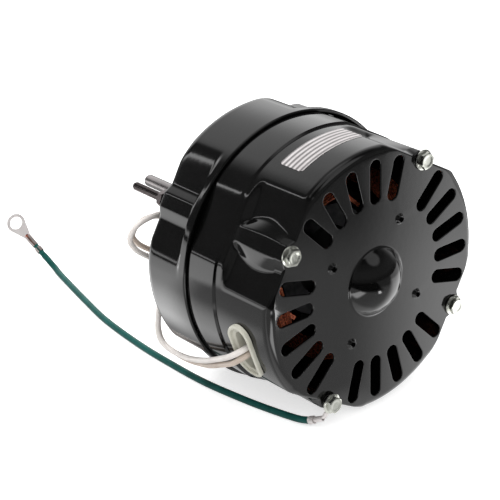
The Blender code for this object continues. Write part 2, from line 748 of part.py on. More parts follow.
TAN_ROUTE = ((-52.5, -66.0, -22.8), (-58.2, -65.8, -24.6), (-62.2, -64.4, -26.6), (-62.6, -58.5, -31.0),
             (-59.1, -46.5, -37.5), (-56.4, -35.1, -43.3), (-51.6, -20.1, -49.5), (-49.0, -9.0, -52.8),
             (-48.2, 2.0, -53.6), (-48.6, 10.6, -51.6), (-48.0, 15.2, -45.6), (-46.4, 16.6, -36.5),
             (-44.0, 17.0, -25.0), (-42.8, 16.8, -15.6), (-44.8, 16.4, -8.6), (-49.4, 16.2, -4.4),
             (-54.2, 16.2, -1.2), (-58.4, 16.2, 2.2), (-61.2, 16.2, 6.8), (-58.2, 16.2, 11.4),
             (-52.0, 16.2, 13.4), (-44.0, 16.6, 12.0), (-37.6, 18.0, 6.0), (-33.6, 21.0, -4.0),
             (-31.2, 26.0, -17.0), (-28.0, 33.0, -33.5), (-21.0, 41.0, -50.5), (-8.0, 50.0, -61.6),
             (9.5, 56.5, -65.0), (29.5, 57.0, -65.0))
GROUND_ROUTE = ((-32.0, -77.0, -63.2), (-33.6, -70.0, -64.5), (-37.2, -52.8, -65.1), (-40.3, -36.1, -65.1),
                (-43.1, -13.9, -65.1), (-43.6, 11.1, -65.1), (-42.8, 38.1, -65.1), (-39.3, 71.6, -65.1),
                (-33.5, 99.0, -65.1), (-24.5, 136.0, -65.1), (-22.4, 144.0, -64.6), (-22.0, 150.0, -62.8),
                (-22.7, 155.2, -59.8))


def build_grommet(mat):
    flange = prism("lead_grommet", [stadium(GROMMET_LONG, GROMMET_WIDE, 8)], 4.4 * mm, mat)
    flange.matrix_world = grommet_frame()
    work = bmesh.new()
    bmesh.ops.create_cone(work, cap_ends=True, segments=96, radius1=LOBE_RADIUS + FIT_GAP,
                          radius2=LOBE_RADIUS + FIT_GAP, depth=2 * BODY_LENGTH)
    seat = bpy.data.meshes.new("grommet_seat")
    work.to_mesh(seat)
    work.free()
    seat_tool = cutter("grommet_seat", seat)
    seat_tool.matrix_world = Matrix.Rotation(math.radians(90.0), 4, "X")
    boolean(flange, seat_tool, "DIFFERENCE")
    long = GROMMET_LONG - 3.0 * mm - 2 * FIT_GAP
    wide = GROMMET_WIDE - 3.0 * mm - 2 * FIT_GAP
    neck = prism("grommet_neck", [stadium(long, wide, 8)], 7.0 * mm, where=CUTTERS)
    neck.matrix_world = grommet_frame() @ Matrix.Translation((0.0, 0.0, -1.0 * mm))
    boolean(flange, neck, "UNION")
    mouth = prism("grommet_mouth", [stadium(long - 4.0 * mm, wide - 4.0 * mm, 8)], 30.0 * mm, where=CUTTERS)
    mouth.matrix_world = grommet_frame()
    boolean(flange, mouth, "DIFFERENCE")
    smooth(flange.data)
    return flange


def aimed(start, end):
    """Local Z from one point to another."""
    along = (end - start).normalized()
    matrix = along.to_track_quat("Z", "Y").to_matrix().to_4x4()
    matrix.translation = start
    return matrix


def terminal(name, centre, normal, towards, hole, reach, barrel_start, barrel_end, mat):
    """A ring terminal: flat ring and tongue in one plane, and a crimp barrel that the wire goes into."""
    up = normal.normalized()
    along = (towards - up * towards.dot(up)).normalized()
    side = up.cross(along)
    frame = Matrix((along, side, up)).transposed().to_4x4()
    frame.translation = centre
    half = 1.7 * mm
    start = math.asin(half / RING_RADIUS)
    outline = []
    for k in range(19):
        turn = start + (2 * math.pi - 2 * start) * k / 18
        outline.append((RING_RADIUS * math.cos(turn), RING_RADIUS * math.sin(turn)))
    outline += [(reach, -half), (reach, half)]
    plate = prism(name, [outline, circle(hole, 18)], LUG_THICK, mat)
    plate.matrix_world = frame
    work = bmesh.new()
    length = (barrel_end - barrel_start).length
    bmesh.ops.create_cone(work, cap_ends=True, segments=14, radius1=BARREL_RADIUS, radius2=BARREL_RADIUS,
                          depth=length)
    barrel = bpy.data.meshes.new(f"{name}_barrel")
    work.to_mesh(barrel)
    work.free()
    tool = cutter(f"{name}_barrel", barrel)
    tool.matrix_world = aimed(barrel_start, barrel_end) @ Matrix.Translation((0.0, 0.0, length / 2))
    boolean(plate, tool, "UNION")
    return plate


def build_terminals(tin):
    bolt = polar(BOLT_RADIUS, bolt_angle(2), depth(-FIT_GAP - LUG_THICK / 2))
    start, _ = smooth_route(GROUND_ROUTE, LEAD_STEP)
    inward = (start[0] - start[1]).normalized()
    lug_end = start[0] + inward * FIT_GAP
    lug_start = lug_end + inward * ((bolt.y - lug_end.y) / inward.y)
    terminal("ground_lug", bolt, Vector((0.0, -1.0, 0.0)), lug_start - bolt, STUD_RADIUS + FIT_GAP,
             (lug_start - bolt).length + 0.8 * mm, lug_start, lug_end, tin)
    outward = (start[-1] - start[-2]).normalized()
    ring_start = start[-1] + outward * FIT_GAP
    ring_end = ring_start + outward * BARREL_LENGTH
    centre = ring_end + outward * RING_REACH
    tilt = RING_TILT - outward * RING_TILT.dot(outward)
    terminal("ground_ring", centre, tilt, -outward, RING_HOLE, RING_REACH + 1.5 * mm, ring_end, ring_start,
             tin)


def build_leads(white, tan, green):
    for name, route, radius, mat in (("lead_white", WHITE_ROUTE, LEAD_RADIUS, white),
                                     ("lead_tan", TAN_ROUTE, LEAD_RADIUS, tan),
                                     ("ground_wire", GROUND_ROUTE, GROUND_RADIUS, green)):
        points, length = smooth_route(route, LEAD_STEP)
        made = tube(name, points, radius, mat, resolution=2)
        smooth(made.data, 60.0)
        print(f"{name} length {length / mm:.0f} mm")


def main():
    clear_scene()
    enamel = material("black_enamel", (0.012, 0.012, 0.013), 0.12, 0.0)
    lamination = material("lamination_steel", (0.18, 0.18, 0.19), 0.45, 0.9)
    copper = material("enamelled_copper", (0.55, 0.18, 0.07), 0.30, 0.9)
    alloy = material("cast_aluminium", (0.62, 0.62, 0.63), 0.40, 1.0)
    steel = material("ground_steel", (0.62, 0.62, 0.63), 0.22, 1.0)
    bronze = material("sintered_bronze", (0.50, 0.33, 0.16), 0.45, 1.0)
    felt = material("oil_felt", (0.62, 0.58, 0.48), 0.95, 0.0)
    zinc = material("zinc_plate", (0.72, 0.73, 0.70), 0.25, 1.0)
    tin = material("tinned_brass", (0.75, 0.74, 0.71), 0.28, 1.0)
    nylon = material("cream_nylon", (0.78, 0.75, 0.65), 0.50, 0.0)
    white = material("white_insulation", (0.80, 0.78, 0.74), 0.50, 0.0)
    tan = material("tan_insulation", (0.66, 0.57, 0.48), 0.50, 0.0)
    green = material("green_insulation", (0.01, 0.16, 0.11), 0.40, 0.0)

    axle = bpy.data.objects.new("rotor_axle", None)
    collection(PARTS).objects.link(axle)

    build_front_shell(enamel)
    build_rear_shell(enamel)
    build_stator_core(lamination)
    build_windings(copper)
    for index in range(POLE_COUNT):
        build_shading_ring(index, copper)
    build_rotor(lamination, alloy, steel, axle)
    build_bearings(bronze, felt, steel)
    build_fasteners(zinc)
    build_grommet(nylon)
    build_leads(white, tan, green)
    build_terminals(tin)


main()
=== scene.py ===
"""Looks of the combustion fan motor: enamelled shells, windings, fasteners, leads, stage and camera."""
import math
import random

import bmesh
import bpy
from mathutils import Matrix, Vector


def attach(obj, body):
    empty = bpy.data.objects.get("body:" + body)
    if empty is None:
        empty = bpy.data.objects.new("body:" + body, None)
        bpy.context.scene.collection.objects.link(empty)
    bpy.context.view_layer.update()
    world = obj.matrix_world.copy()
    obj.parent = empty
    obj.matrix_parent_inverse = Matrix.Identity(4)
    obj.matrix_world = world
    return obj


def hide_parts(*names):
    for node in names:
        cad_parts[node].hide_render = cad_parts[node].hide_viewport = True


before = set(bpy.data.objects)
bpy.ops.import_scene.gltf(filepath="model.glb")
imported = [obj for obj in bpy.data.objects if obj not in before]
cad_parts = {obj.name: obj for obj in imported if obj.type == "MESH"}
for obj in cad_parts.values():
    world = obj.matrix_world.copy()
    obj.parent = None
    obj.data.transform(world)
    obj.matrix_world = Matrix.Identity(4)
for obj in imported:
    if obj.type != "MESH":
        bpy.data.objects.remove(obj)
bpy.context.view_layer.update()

mm = 0.001

# Body, sized as the solids, and the steps round a shell
BODY_LENGTH = 85.0 * mm
BOLT_RADIUS = 58.8 * mm
BOLT_ANGLE = 62.5
BOLT_COUNT = 4
LOBE_RADIUS = 64.0 * mm
SKIRT_RADIUS = 65.0 * mm
REAR_RADIUS = 66.6 * mm
SHELL_WALL = 0.9 * mm
FIT_GAP = 0.3 * mm
RING_STEPS = 720
SIDE_STEP = 0.7 * mm
INSIDE_STEP = 4.0 * mm

# Depths behind the vented face
POCKET_END = 31.0 * mm
SHOULDER = 37.0 * mm
JOGGLE_START = 54.6 * mm
SEAM = 55.0 * mm
SKIRT_END = 58.0 * mm
RIM_END = 59.0 * mm

# Bends from the end faces to the sides, on the lobes and on the flats
FACE_CORNER = 4.0 * mm
FACE_FLAT_CORNER = 1.0 * mm
REAR_CORNER = 5.0 * mm
REAR_FLAT_CORNER = 2.6 * mm

# Flats pressed into both shells at each bolt, with a rib over the bolt
FRONT_FLAT = 58.9 * mm
FRONT_CREST = 62.2 * mm
REAR_FLAT = 61.3 * mm
REAR_CREST = 63.8 * mm
RIB_TOP = 3.0 * mm
RIB_FOOT = 7.5 * mm
REAR_RIB_FOOT = 9.0 * mm
RIB_SWELL = 5.3 * mm
CREST_EASE = 0.12
FOOT_EASE = 0.34
SKIRT_FLAT = 14.0
JOGGLE = 0.9 * mm
FRONT_CREASE = 0.7 * mm
REAR_CREASE = 2.6 * mm
HEM = 0.7 * mm

# Vented faces
SLOT_INNER = 38.0 * mm
SLOT_OUTER = 59.0 * mm
REAR_SLOT_OUTER = 57.0 * mm
SLOT_WIDTH = 6.5 * mm
SLOT_STEP = 15
SLOT_LIP = 0.4 * mm
REAR_SLOT_LIP = 0.3 * mm
HOLE_LIP = 0.1 * mm
COLLAR_PLACE = 30.3 * mm
COLLAR_FOOT = 2.7 * mm
COLLAR_HEIGHT = 1.3 * mm
COLLAR_HOLE = 1.2 * mm
COLLAR_DEPTH = 0.7 * mm
DOME_FOOT = 17.3 * mm
DOME_HEIGHT = 8.2 * mm
DOME_FILLET = 1.3 * mm
BOLT_HOLE = 2.18 * mm
HUB_RADIUS = 14.0 * mm
HUB_HEIGHT = 7.0 * mm
HUB_HOLE = 4.6 * mm
HUB_FOOT = 2.0 * mm

# Windings
STACK_START = 38.5 * mm
STACK_END = 66.5 * mm
POLE_COUNT = 4
COIL_SEAT = 35.0 * mm
COIL_HALF_WIDTH = 20.5 * mm
COIL_OVERHANG = 14.0 * mm
COIL_SQUARENESS = 0.45
COIL_BUILD = 10.4 * mm
STRAND_RADIUS = 0.34 * mm
STRAND_PITCH = 2.15 * STRAND_RADIUS
STRAND_WOBBLE = 0.8 * STRAND_RADIUS
STRAND_LAYERS = 5
LAYER_PITCH = 1.8 * STRAND_RADIUS

# Shaft and fasteners
SHAFT_RADIUS = 3.175 * mm
SHAFT_START = 17.0 * mm
SHAFT_END = 170.0 * mm
STUD_RADIUS = 2.08 * mm
STUD_END = 110.0 * mm
SHORT_BOLT_END = 91.0 * mm
LONG_STUDS = (1, 3)
LUG_BOLT = 2
WASHER_RADIUS = 4.9 * mm
WASHER_THICK = 1.0 * mm
WASHER_EDGE = ((0.35 * mm, 0.8), (0.08 * mm, 0.62), (0.0, 0.35), (0.1 * mm, 0.0))
HEX_TURN = 13.0
HEX_TURN_STEP = 37.0
HEX_FLATS = 7.2 * mm
HEX_HEIGHT = 3.2 * mm
HEX_DISH = ((0.20, -0.16 * mm), (0.31, -0.13 * mm), (0.35, -0.03 * mm), (0.39, 0.0), (0.47, 0.0))
NUT_TURN_STEP = 11.0
NUT_FLATS = 8.0 * mm
NUT_HEIGHT = 3.0 * mm
THREAD_START = 79.0 * mm
THREAD_PITCH = 0.8 * mm
THREAD_DEPTH = 0.22 * mm
THREAD_POINT = 0.45 * mm
TURN_ANGLES = [5.0 * k for k in range(72)]

# Leads, terminals and label
LEAD_RADIUS = 1.4 * mm
GROUND_RADIUS = 1.7 * mm
SLEEVE_RADIUS = 1.5 * mm
LEAD_STEP = 2.0 * mm
GROMMET_ANGLE = 201.5
GROMMET_DEPTH = 20.0 * mm
GROMMET_LONG = 30.0 * mm
GROMMET_WIDE = 15.0 * mm
GROMMET_RISE = 2.0 * mm
GROMMET_LIP = 3.0 * mm
LUG_THICK = 0.8 * mm
LUG_EYE = 3.5 * mm
LUG_NECK = 1.2 * mm
LUG_CRIMP_SHARE = 0.85
LUG_CRIMP_RISE = 1.8 * mm
LUG_CRIMP_RADIUS = 1.35 * mm
LUG_EAR_SHARE = 0.36
RING_RADIUS = 5.4 * mm
RING_HOLE = 3.6 * mm
RING_REACH = 10.5 * mm
RING_TILT = Vector((-0.59, -0.70, 0.39))
BARREL_RADIUS = 2.0 * mm
BARREL_LENGTH = 15.2 * mm
CRIMP_SHEET = 0.45 * mm
STRAND_END = 8.0 * mm
RING_STRAND = 0.36 * mm
LEAD_STRAND = 0.24 * mm
LEAD_BARE = 7.5 * mm
LABEL_START = 15.8 * mm
LABEL_END = 30.2 * mm
LABEL_ANGLES = (85.2, 119.6)
LABEL_CORNER = 1.6 * mm
LABEL_UNDER = 0.05 * mm
LABEL_TOP = 0.16 * mm
LABEL_RULES = 120.0

# Routes of the leads, in millimetres
WHITE_ROUTE = ((-53.5, -66.0, -19.5), (-59.4, -65.8, -21.1), (-63.6, -64.4, -23.0), (-64.2, -58.5, -27.2),
               (-61.1, -46.5, -34.1), (-58.7, -35.1, -40.0), (-54.8, -20.1, -46.4), (-52.4, -9.0, -49.8),
               (-51.6, 1.0, -50.6), (-52.0, 7.5, -48.6), (-51.4, 11.0, -43.8), (-49.8, 12.4, -36.0),
               (-47.4, 12.8, -25.0), (-46.6, 12.6, -16.5), (-48.8, 12.2, -9.8), (-53.6, 12.0, -5.4),
               (-58.6, 12.0, -2.0), (-63.0, 12.0, 1.8), (-65.8, 12.0, 7.0), (-62.8, 12.0, 12.2),
               (-56.4, 12.0, 14.9), (-47.2, 12.0, 15.4), (-38.0, 13.0, 11.0), (-32.0, 16.0, 1.0),
               (-28.0, 21.0, -13.0), (-24.5, 28.0, -31.0), (-17.0, 36.0, -50.0), (-4.0, 45.0, -61.8),
               (13.0, 51.0, -65.0), (33.0, 51.0, -65.0))
TAN_ROUTE = ((-52.5, -66.0, -22.8), (-58.2, -65.8, -24.6), (-62.2, -64.4, -26.6), (-62.6, -58.5, -31.0),
             (-59.1, -46.5, -37.5), (-56.4, -35.1, -43.3), (-51.6, -20.1, -49.5), (-49.0, -9.0, -52.8),
             (-48.2, 2.0, -53.6), (-48.6, 10.6, -51.6), (-48.0, 15.2, -45.6), (-46.4, 16.6, -36.5),
             (-44.0, 17.0, -25.0), (-42.8, 16.8, -15.6), (-44.8, 16.4, -8.6), (-49.4, 16.2, -4.4),
             (-54.2, 16.2, -1.2), (-58.4, 16.2, 2.2), (-61.2, 16.2, 6.8), (-58.2, 16.2, 11.4),
             (-52.0, 16.2, 13.4), (-44.0, 16.6, 12.0), (-37.6, 18.0, 6.0), (-33.6, 21.0, -4.0),
             (-31.2, 26.0, -17.0), (-28.0, 33.0, -33.5), (-21.0, 41.0, -50.5), (-8.0, 50.0, -61.6),
             (9.5, 56.5, -65.0), (29.5, 57.0, -65.0))
GROUND_ROUTE = ((-32.0, -77.0, -63.2), (-33.6, -70.0, -64.5), (-37.2, -52.8, -65.1), (-40.3, -36.1, -65.1),
                (-43.1, -13.9, -65.1), (-43.6, 11.1, -65.1), (-42.8, 38.1, -65.1), (-39.3, 71.6, -65.1),
                (-33.5, 99.0, -65.1), (-24.5, 136.0, -65.1), (-22.4, 144.0, -64.6), (-22.0, 150.0, -62.8),
                (-22.7, 155.2, -59.8))

# Camera and stage
CAMERA_AZIMUTH = -40.28
CAMERA_ELEVATION = 23.2
CAMERA_DISTANCE = 720.5 * mm
CAMERA_AIM = Vector((-40.4, -45.0, 13.6)) * mm
CAMERA_LENS = 115.2
FLOOR_LEVEL = -66.9 * mm
WORLD_STRENGTH = 0.55
FLOOR_GLOW = 0.62

# Paper as the enamel mirrors it, in metres and degrees
# A step holds its two ends and the values at them, a band its two ends and the width of its soft edges
MIRRORED_CAMERA = Vector((-0.4685, 0.380, 0.0))
RIGHT_BEARING = (-46.0, -41.5, 0.0, 1.9)
RIGHT_END = (-0.09, -0.07, 1.0, 0.0)
RIGHT_FADE = (0.26, 0.42, 1.0, 0.4)
BEHIND_SLANT = 0.75
BEHIND_EDGE = (-0.045, -0.018, 0.0, 1.5)
BEHIND_FAR = (0.08, 0.12, 0.0, 1.5)
BEHIND_RIGHT = (-0.075, -0.05, 1.0, 0.0)
BESIDE_X = (-0.13, -0.085, 0.0, 1.0)
BESIDE_Y = (-0.03, 0.0, 0.0, 1.0)
CARD_X = (-0.125, -0.055, 0.02)
CARD_Y = (-0.22, -0.12, 0.02)
CARD_GLOW = 3.5
LAMP_X = (0.015, 0.039, 0.006)
LAMP_Y = (-0.230, -0.186, 0.010)
LAMP_GLOW = 7.5
FOOT_X = (0.0, 0.02, 0.5, 0.0)
FOOT_Y = (-0.115, -0.07, 0.015)
TABLE_X = (0.03, 0.08, 0.0, 1.0)
TABLE_Y = (-0.25, -0.20, 0.0, 1.0)
TABLE_REACH = (0.80 ** 2, 0.92 ** 2, 0.60, 0.22)

# Studio as the enamel mirrors it: bearings in degrees, heights as the Z of a heading
BACKDROP_LEFT = (93.0, 110.0, 1.0, 0.0)
BACKDROP_RIGHT = (-20.0, 25.0, 0.1, 1.0)
BACKDROP_MIDDLE = (0.40, 0.66, 1.95, 1.1)
BACKDROP_FOOT = (0.05, 0.22, 0.5, 1.0)
BACKDROP_TOP = (0.70, 0.80, 1.0, 0.3)
OVERHEAD = (0.92, 0.97, 0.02, 0.8)
ROOM_BEHIND = (0.1, 0.4, 0.0, 0.1)
STRIP_BEARING = (123.4, 127.4, 1.2)
STRIP_HEIGHT = (0.15, 0.85, 0.1)
STRIP_GLOW = 4.0
LOW_STRIP_BEARING = (105.0, 165.0, 4.0)
LOW_STRIP_HEIGHT = (0.03, 0.09, 0.02)
LOW_STRIP_GLOW = 2.4
FILL_HEADING = (0.20, -0.56, 0.80)
FILL_EDGE = (0.93, 0.97, 0.0, 0.9)

# Directions and plain values
FRONT = Vector((0.0, -1.0, 0.0))
BACK = Vector((0.0, 1.0, 0.0))
WHITE = (1.0, 1.0, 1.0, 1.0)
EVEN = (1.0, 1.0, 1.0)


# Geometry helpers
def depth(value):
    """World Y of a depth behind the vented face."""
    return value - BODY_LENGTH


def polar(radius, angle, level):
    turn = math.radians(angle)
    return Vector((radius * math.cos(turn), level, radius * math.sin(turn)))


def around(radius, angle, level):
    """A point round local Z."""
    turn = math.radians(angle)
    return Vector((radius * math.cos(turn), radius * math.sin(turn), level))


def ramp(value, low, high):
    share = min(1.0, max(0.0, (value - low) / (high - low)))
    return share * share * (3.0 - 2.0 * share)


def bolt_angle(index):
    return BOLT_ANGLE + 90.0 * index


def pole_angle(index):
    return BOLT_ANGLE + 45.0 + 90.0 * index


def from_bolt(angle):
    """Angle from the nearest bolt, -45 to 45 degrees."""
    return (angle - BOLT_ANGLE + 45.0) % 90.0 - 45.0


def bends(steps):
    """Even angles from nought to a right angle, in radians."""
    return [math.radians(90.0 * k / steps) for k in range(steps + 1)]


def axes(x_axis, y_axis, z_axis, origin):
    """A local frame with these axes, at this place."""
    matrix = Matrix((x_axis, y_axis, z_axis)).transposed().to_4x4()
    matrix.translation = origin
    return matrix


def facing(angle, radius, level):
    """Local Z out along a radius, local X along the circumference, local Y along the shaft."""
    out = polar(1.0, angle, 0.0)
    return axes(BACK.cross(out), BACK, out, polar(radius, angle, level))


def face_out(level, angle, normal):
    """Local X along a radius, local Z out of an end face that looks along this normal."""
    out = polar(1.0, angle, 0.0)
    return axes(out, normal.cross(out), normal, BACK * level)


def aimed(start, end):
    """Local Z from one point to another."""
    along = (end - start).normalized()
    matrix = along.to_track_quat("Z", "Y").to_matrix().to_4x4()
    matrix.translation = start
    return matrix


def stadium(long, wide, segments=10):
    """A slot outline, long along local X, with round ends."""
    half = (long - wide) / 2
    points = []
    for end, start in ((1, -90.0), (-1, 90.0)):
        for k in range(segments + 1):
            turn = math.radians(start + 180.0 * k / segments)
            points.append((end * half + wide / 2 * math.cos(turn), wide / 2 * math.sin(turn)))
    return points


def circle(radius, segments):
    step = 2 * math.pi / segments
    return [(radius * math.cos(k * step), radius * math.sin(k * step)) for k in range(segments)]


def smooth_route(points, step):
    """Points at an even step along a smooth curve through the route's own points, and its length."""
    knots = [Vector(p) * mm for p in points]
    ends = [2 * knots[0] - knots[1]] + knots + [2 * knots[-1] - knots[-2]]
    fine = []
    for a, b, c, d in zip(ends, ends[1:], ends[2:], ends[3:]):
        for k in range(24):
            t = k / 24
            fine.append(0.5 * (2 * b + (c - a) * t + (2 * a - 5 * b + 4 * c - d) * t ** 2
                               + (3 * b - a - 3 * c + d) * t ** 3))
    fine.append(knots[-1])
    reach = [0.0]
    for a, b in zip(fine, fine[1:]):
        reach.append(reach[-1] + (b - a).length)
    count = max(2, round(reach[-1] / step))
    even = []
    seg = 0
    for k in range(count + 1):
        want = reach[-1] * k / count
        while seg < len(fine) - 2 and reach[seg + 1] < want:
            seg += 1
        share = (want - reach[seg]) / max(reach[seg + 1] - reach[seg], 1e-9)
        even.append(fine[seg].lerp(fine[seg + 1], min(1.0, max(0.0, share))))
    return even, reach[-1]


def loft(work, rows, close_start=False, close_end=False):
    """Quads between rows of points that run round a piece."""
    loops = [[work.verts.new(p) for p in row] for row in rows]
    count = len(loops[0])
    for low, high in zip(loops, loops[1:]):
        for k in range(count):
            nxt = (k + 1) % count
            work.faces.new((low[k], low[nxt], high[nxt], high[k]))
    if close_start:
        work.faces.new(loops[0][::-1])
    if close_end:
        work.faces.new(loops[-1])


def fill_between(work, loops, normal):
    """A flat face inside the first loop, with the later loops as holes."""
    edges = []
    for loop in loops:
        verts = [work.verts.new(p) for p in loop]
        for k, vert in enumerate(verts):
            edges.append(work.edges.new((vert, verts[(k + 1) % len(verts)])))
    bmesh.ops.triangle_fill(work, use_beauty=True, use_dissolve=False, edges=edges, normal=normal)


def meshed(name, work):
    mesh = bpy.data.meshes.new(name)
    work.to_mesh(mesh)
    work.free()
    return mesh


def linked(name, data):
    obj = bpy.data.objects.new(name, data)
    bpy.context.scene.collection.objects.link(obj)
    return obj


def finished(name, work, mat, slot_name, body="frame", angle=40.0, replaces=()):
    """The mesh as a piece: stitched, faces out, shaded smooth, riding on its body."""
    bmesh.ops.remove_doubles(work, verts=work.verts, dist=0.000002)
    bmesh.ops.recalc_face_normals(work, faces=work.faces)
    mesh = meshed(name, work)
    mesh.shade_smooth()
    mesh.set_sharp_from_angle(angle=math.radians(angle))
    return placed(name, mesh, mat, body, replaces)


def lofted(name, rows, mat, slot_name, closed, **options):
    """A piece made of one run of rows, with its ends closed or left open."""
    work = bmesh.new()
    loft(work, rows, closed, closed)
    return finished(name, work, mat, slot_name, **options)


def placed(name, data, mat, body="frame", replaces=()):
    obj = linked(name, data)
    data.materials.append(mat)
    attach(obj, body)
    if replaces:
        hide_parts(*replaces)
    return obj


def weighted(obj):
    """Flat faces keep their own normals beside rounded edges."""
    mod = obj.modifiers.new("weighted_normals", "WEIGHTED_NORMAL")
    mod.keep_sharp = True
    mod.weight = 80
    return obj


def tube(name, points, radius, mat, body="frame", sides=6, replaces=()):
    data = bpy.data.curves.new(name, "CURVE")
    data.dimensions = "3D"
    data.bevel_depth = radius
    data.bevel_resolution = sides
    data.use_fill_caps = True
    spline = data.splines.new("POLY")
    spline.points.add(len(points) - 1)
    for point, place in zip(spline.points, points):
        point.co = (*place, 1.0)
    spline.use_smooth = True
    return placed(name, data, mat, body, replaces)


# Materials
class Tree:
    """The nodes of a material or a world, with short ways to add and join them."""

    def __init__(self, owner):
        owner.use_nodes = True
        self.nodes = owner.node_tree.nodes
        self.links = owner.node_tree.links

    def put(self, value, socket):
        """Sets a socket to a plain value, or joins another node's output to it."""
        if isinstance(value, bpy.types.NodeSocket):
            self.links.new(value, socket)
        else:
            socket.default_value = value

    def new(self, kind, inputs=None, **settings):
        node = self.nodes.new(f"ShaderNode{kind}")
        for name, value in settings.items():
            setattr(node, name, value)
        for name, value in (inputs or {}).items():
            self.put(value, node.inputs[name])
        return node

    def joined(self, operation, values):
        """Plain values or outputs joined one after another by one operation."""
        total = values[0]
        for value in values[1:]:
            total = self.new("Math", {0: total, 1: value}, operation=operation).outputs["Value"]
        return total

    def plus(self, *values):
        return self.joined("ADD", values)

    def times(self, *values):
        return self.joined("MULTIPLY", values)

    def largest(self, *values):
        return self.joined("MAXIMUM", values)

    def bearing(self, x, y):
        """The direction of a point in degrees."""
        return self.times(self.joined("ARCTAN2", (y, x)), math.degrees(1.0))

    def rising(self, value, low, high, start, end):
        """A smooth step from one value to another."""
        inputs = {"Value": value, "From Min": low, "From Max": high, "To Min": start, "To Max": end}
        return self.new("MapRange", inputs, interpolation_type="SMOOTHSTEP").outputs["Result"]

    def band(self, value, low, high, soft):
        """One between two limits and nought outside them, with soft edges."""
        return self.times(self.rising(value, low, low + soft, 0.0, 1.0),
                          self.rising(value, high - soft, high, 1.0, 0.0))

    def spread(self, value, low, high):
        return self.new("MapRange", {"Value": value, "To Min": low, "To Max": high}).outputs["Result"]

    def place(self, kind):
        """A point's coordinates of this kind, whole and split in three."""
        whole = self.new("TexCoord").outputs[kind]
        return whole, self.new("SeparateXYZ", {"Vector": whole}).outputs

    def noise(self, scale, detail, stretch=EVEN):
        mapping = self.new("Mapping", {"Vector": self.new("TexCoord").outputs["Object"], "Scale": stretch})
        inputs = {"Vector": mapping.outputs["Vector"], "Scale": scale, "Detail": detail}
        return self.new("TexNoise", inputs).outputs["Fac"]

    def colours(self, value, dark, light):
        """A colour between two tones, each given with its place on the scale."""
        node = self.new("ValToRGB", {"Fac": value})
        for element, (place, colour) in zip(node.color_ramp.elements, (dark, light)):
            element.position = place
            element.color = (*colour, 1.0)
        return node.outputs["Color"]

    def mirrored_apart(self, plain, mirrored, output):
        """One shader for what mirrors see and another for all other light."""
        glossy = self.new("LightPath").outputs["Is Glossy Ray"]
        mix = self.new("MixShader", {0: glossy, 1: plain, 2: mirrored})
        self.put(mix.outputs["Shader"], self.nodes[output].inputs["Surface"])


def new_material(name):
    mat = bpy.data.materials.new(name)
    tree = Tree(mat)
    return mat, tree, tree.nodes["Principled BSDF"]


def bumped(tree, shader, height, strength, distance):
    bump = tree.new("Bump", {"Height": height, "Strength": strength, "Distance": distance})
    tree.put(bump.outputs["Normal"], shader.inputs["Normal"])


def surface(name, dark, light, scale, roughness, metallic=0.0, bump=0.1, height=0.05 * mm, fine=900.0,
            stretch=EVEN, shine=0.5):
    """A finish with a colour that drifts between two tones, uneven gloss and a fine grain."""
    mat, tree, shader = new_material(name)
    grain = tree.noise(fine, 2.0, stretch)
    broad = tree.noise(scale, 4.0, stretch)
    shader.inputs["Metallic"].default_value = metallic
    shader.inputs["Specular IOR Level"].default_value = shine
    tree.put(tree.colours(broad, (0.3, dark), (0.7, light)), shader.inputs["Base Color"])
    tree.put(tree.spread(grain, *roughness), shader.inputs["Roughness"])
    bumped(tree, shader, grain, bump, height)
    return mat


def overlaid(mat, factor, colour, blend="MIX"):
    """Mixes a second colour over a finish, given what to make the two from."""
    tree = Tree(mat)
    shader = tree.nodes["Principled BSDF"]
    under = shader.inputs["Base Color"].links[0].from_socket
    whole, split = tree.place("Object")
    inputs = {"Factor": factor(tree, split), "A": under, "B": colour(tree, whole)}
    mix = tree.new("Mix", inputs, data_type="RGBA", blend_type=blend)
    tree.put(mix.outputs["Result"], shader.inputs["Base Color"])
    return mat


def enamel_material():
    """Gloss black stoving enamel: deep black, slight orange peel, faint dust in the gloss."""
    mat, tree, shader = new_material("black_enamel")
    tones = tree.colours(tree.noise(60.0, 5.0), (0.3, (0.0015,) * 3), (0.75, (0.003,) * 3))
    tree.put(tones, shader.inputs["Base Color"])
    tree.put(tree.spread(tree.noise(700.0, 4.0), 0.05, 0.11), shader.inputs["Roughness"])
    shader.inputs["IOR"].default_value = 1.55
    bumped(tree, shader, tree.noise(420.0, 1.0), 0.16, 0.05 * mm)
    return mat


def label_material():
    """Pale satin paper with plain ruled lines along its length."""
    mat = surface("label_paper", (0.46, 0.43, 0.43), (0.56, 0.53, 0.53), 180.0, (0.35, 0.5), bump=0.08)

    def rules(tree, whole):
        inputs = {"Vector": whole, "Scale": LABEL_RULES, "Distortion": 0.0}
        return tree.new("TexWave", inputs, bands_direction="Y").outputs["Color"]

    return overlaid(mat, lambda tree, split: 0.8, rules, "MULTIPLY")


def bolt_material():
    """Bright zinc on the heads, and a dark tone on the stud ends and their nuts behind the body."""
    mat = surface("zinc_plate", (0.54, 0.55, 0.50), (0.66, 0.67, 0.61), 160.0, (0.20, 0.28), 1.0, bump=0.04)

    def behind(tree, split):
        limits = {"Value": split["Y"], "From Min": -1.0 * mm, "From Max": 0.0}
        return tree.new("MapRange", limits).outputs["Result"]

    return overlaid(mat, behind, lambda tree, whole: (0.16, 0.14, 0.14, 1.0))


# Stamped shells
def soft_min(first, second, softness):
    """The smaller of two radii, with the crease where they meet rounded."""
    near = max(0.0, softness - abs(first - second))
    return min(first, second) - near * near / (4.0 * softness)


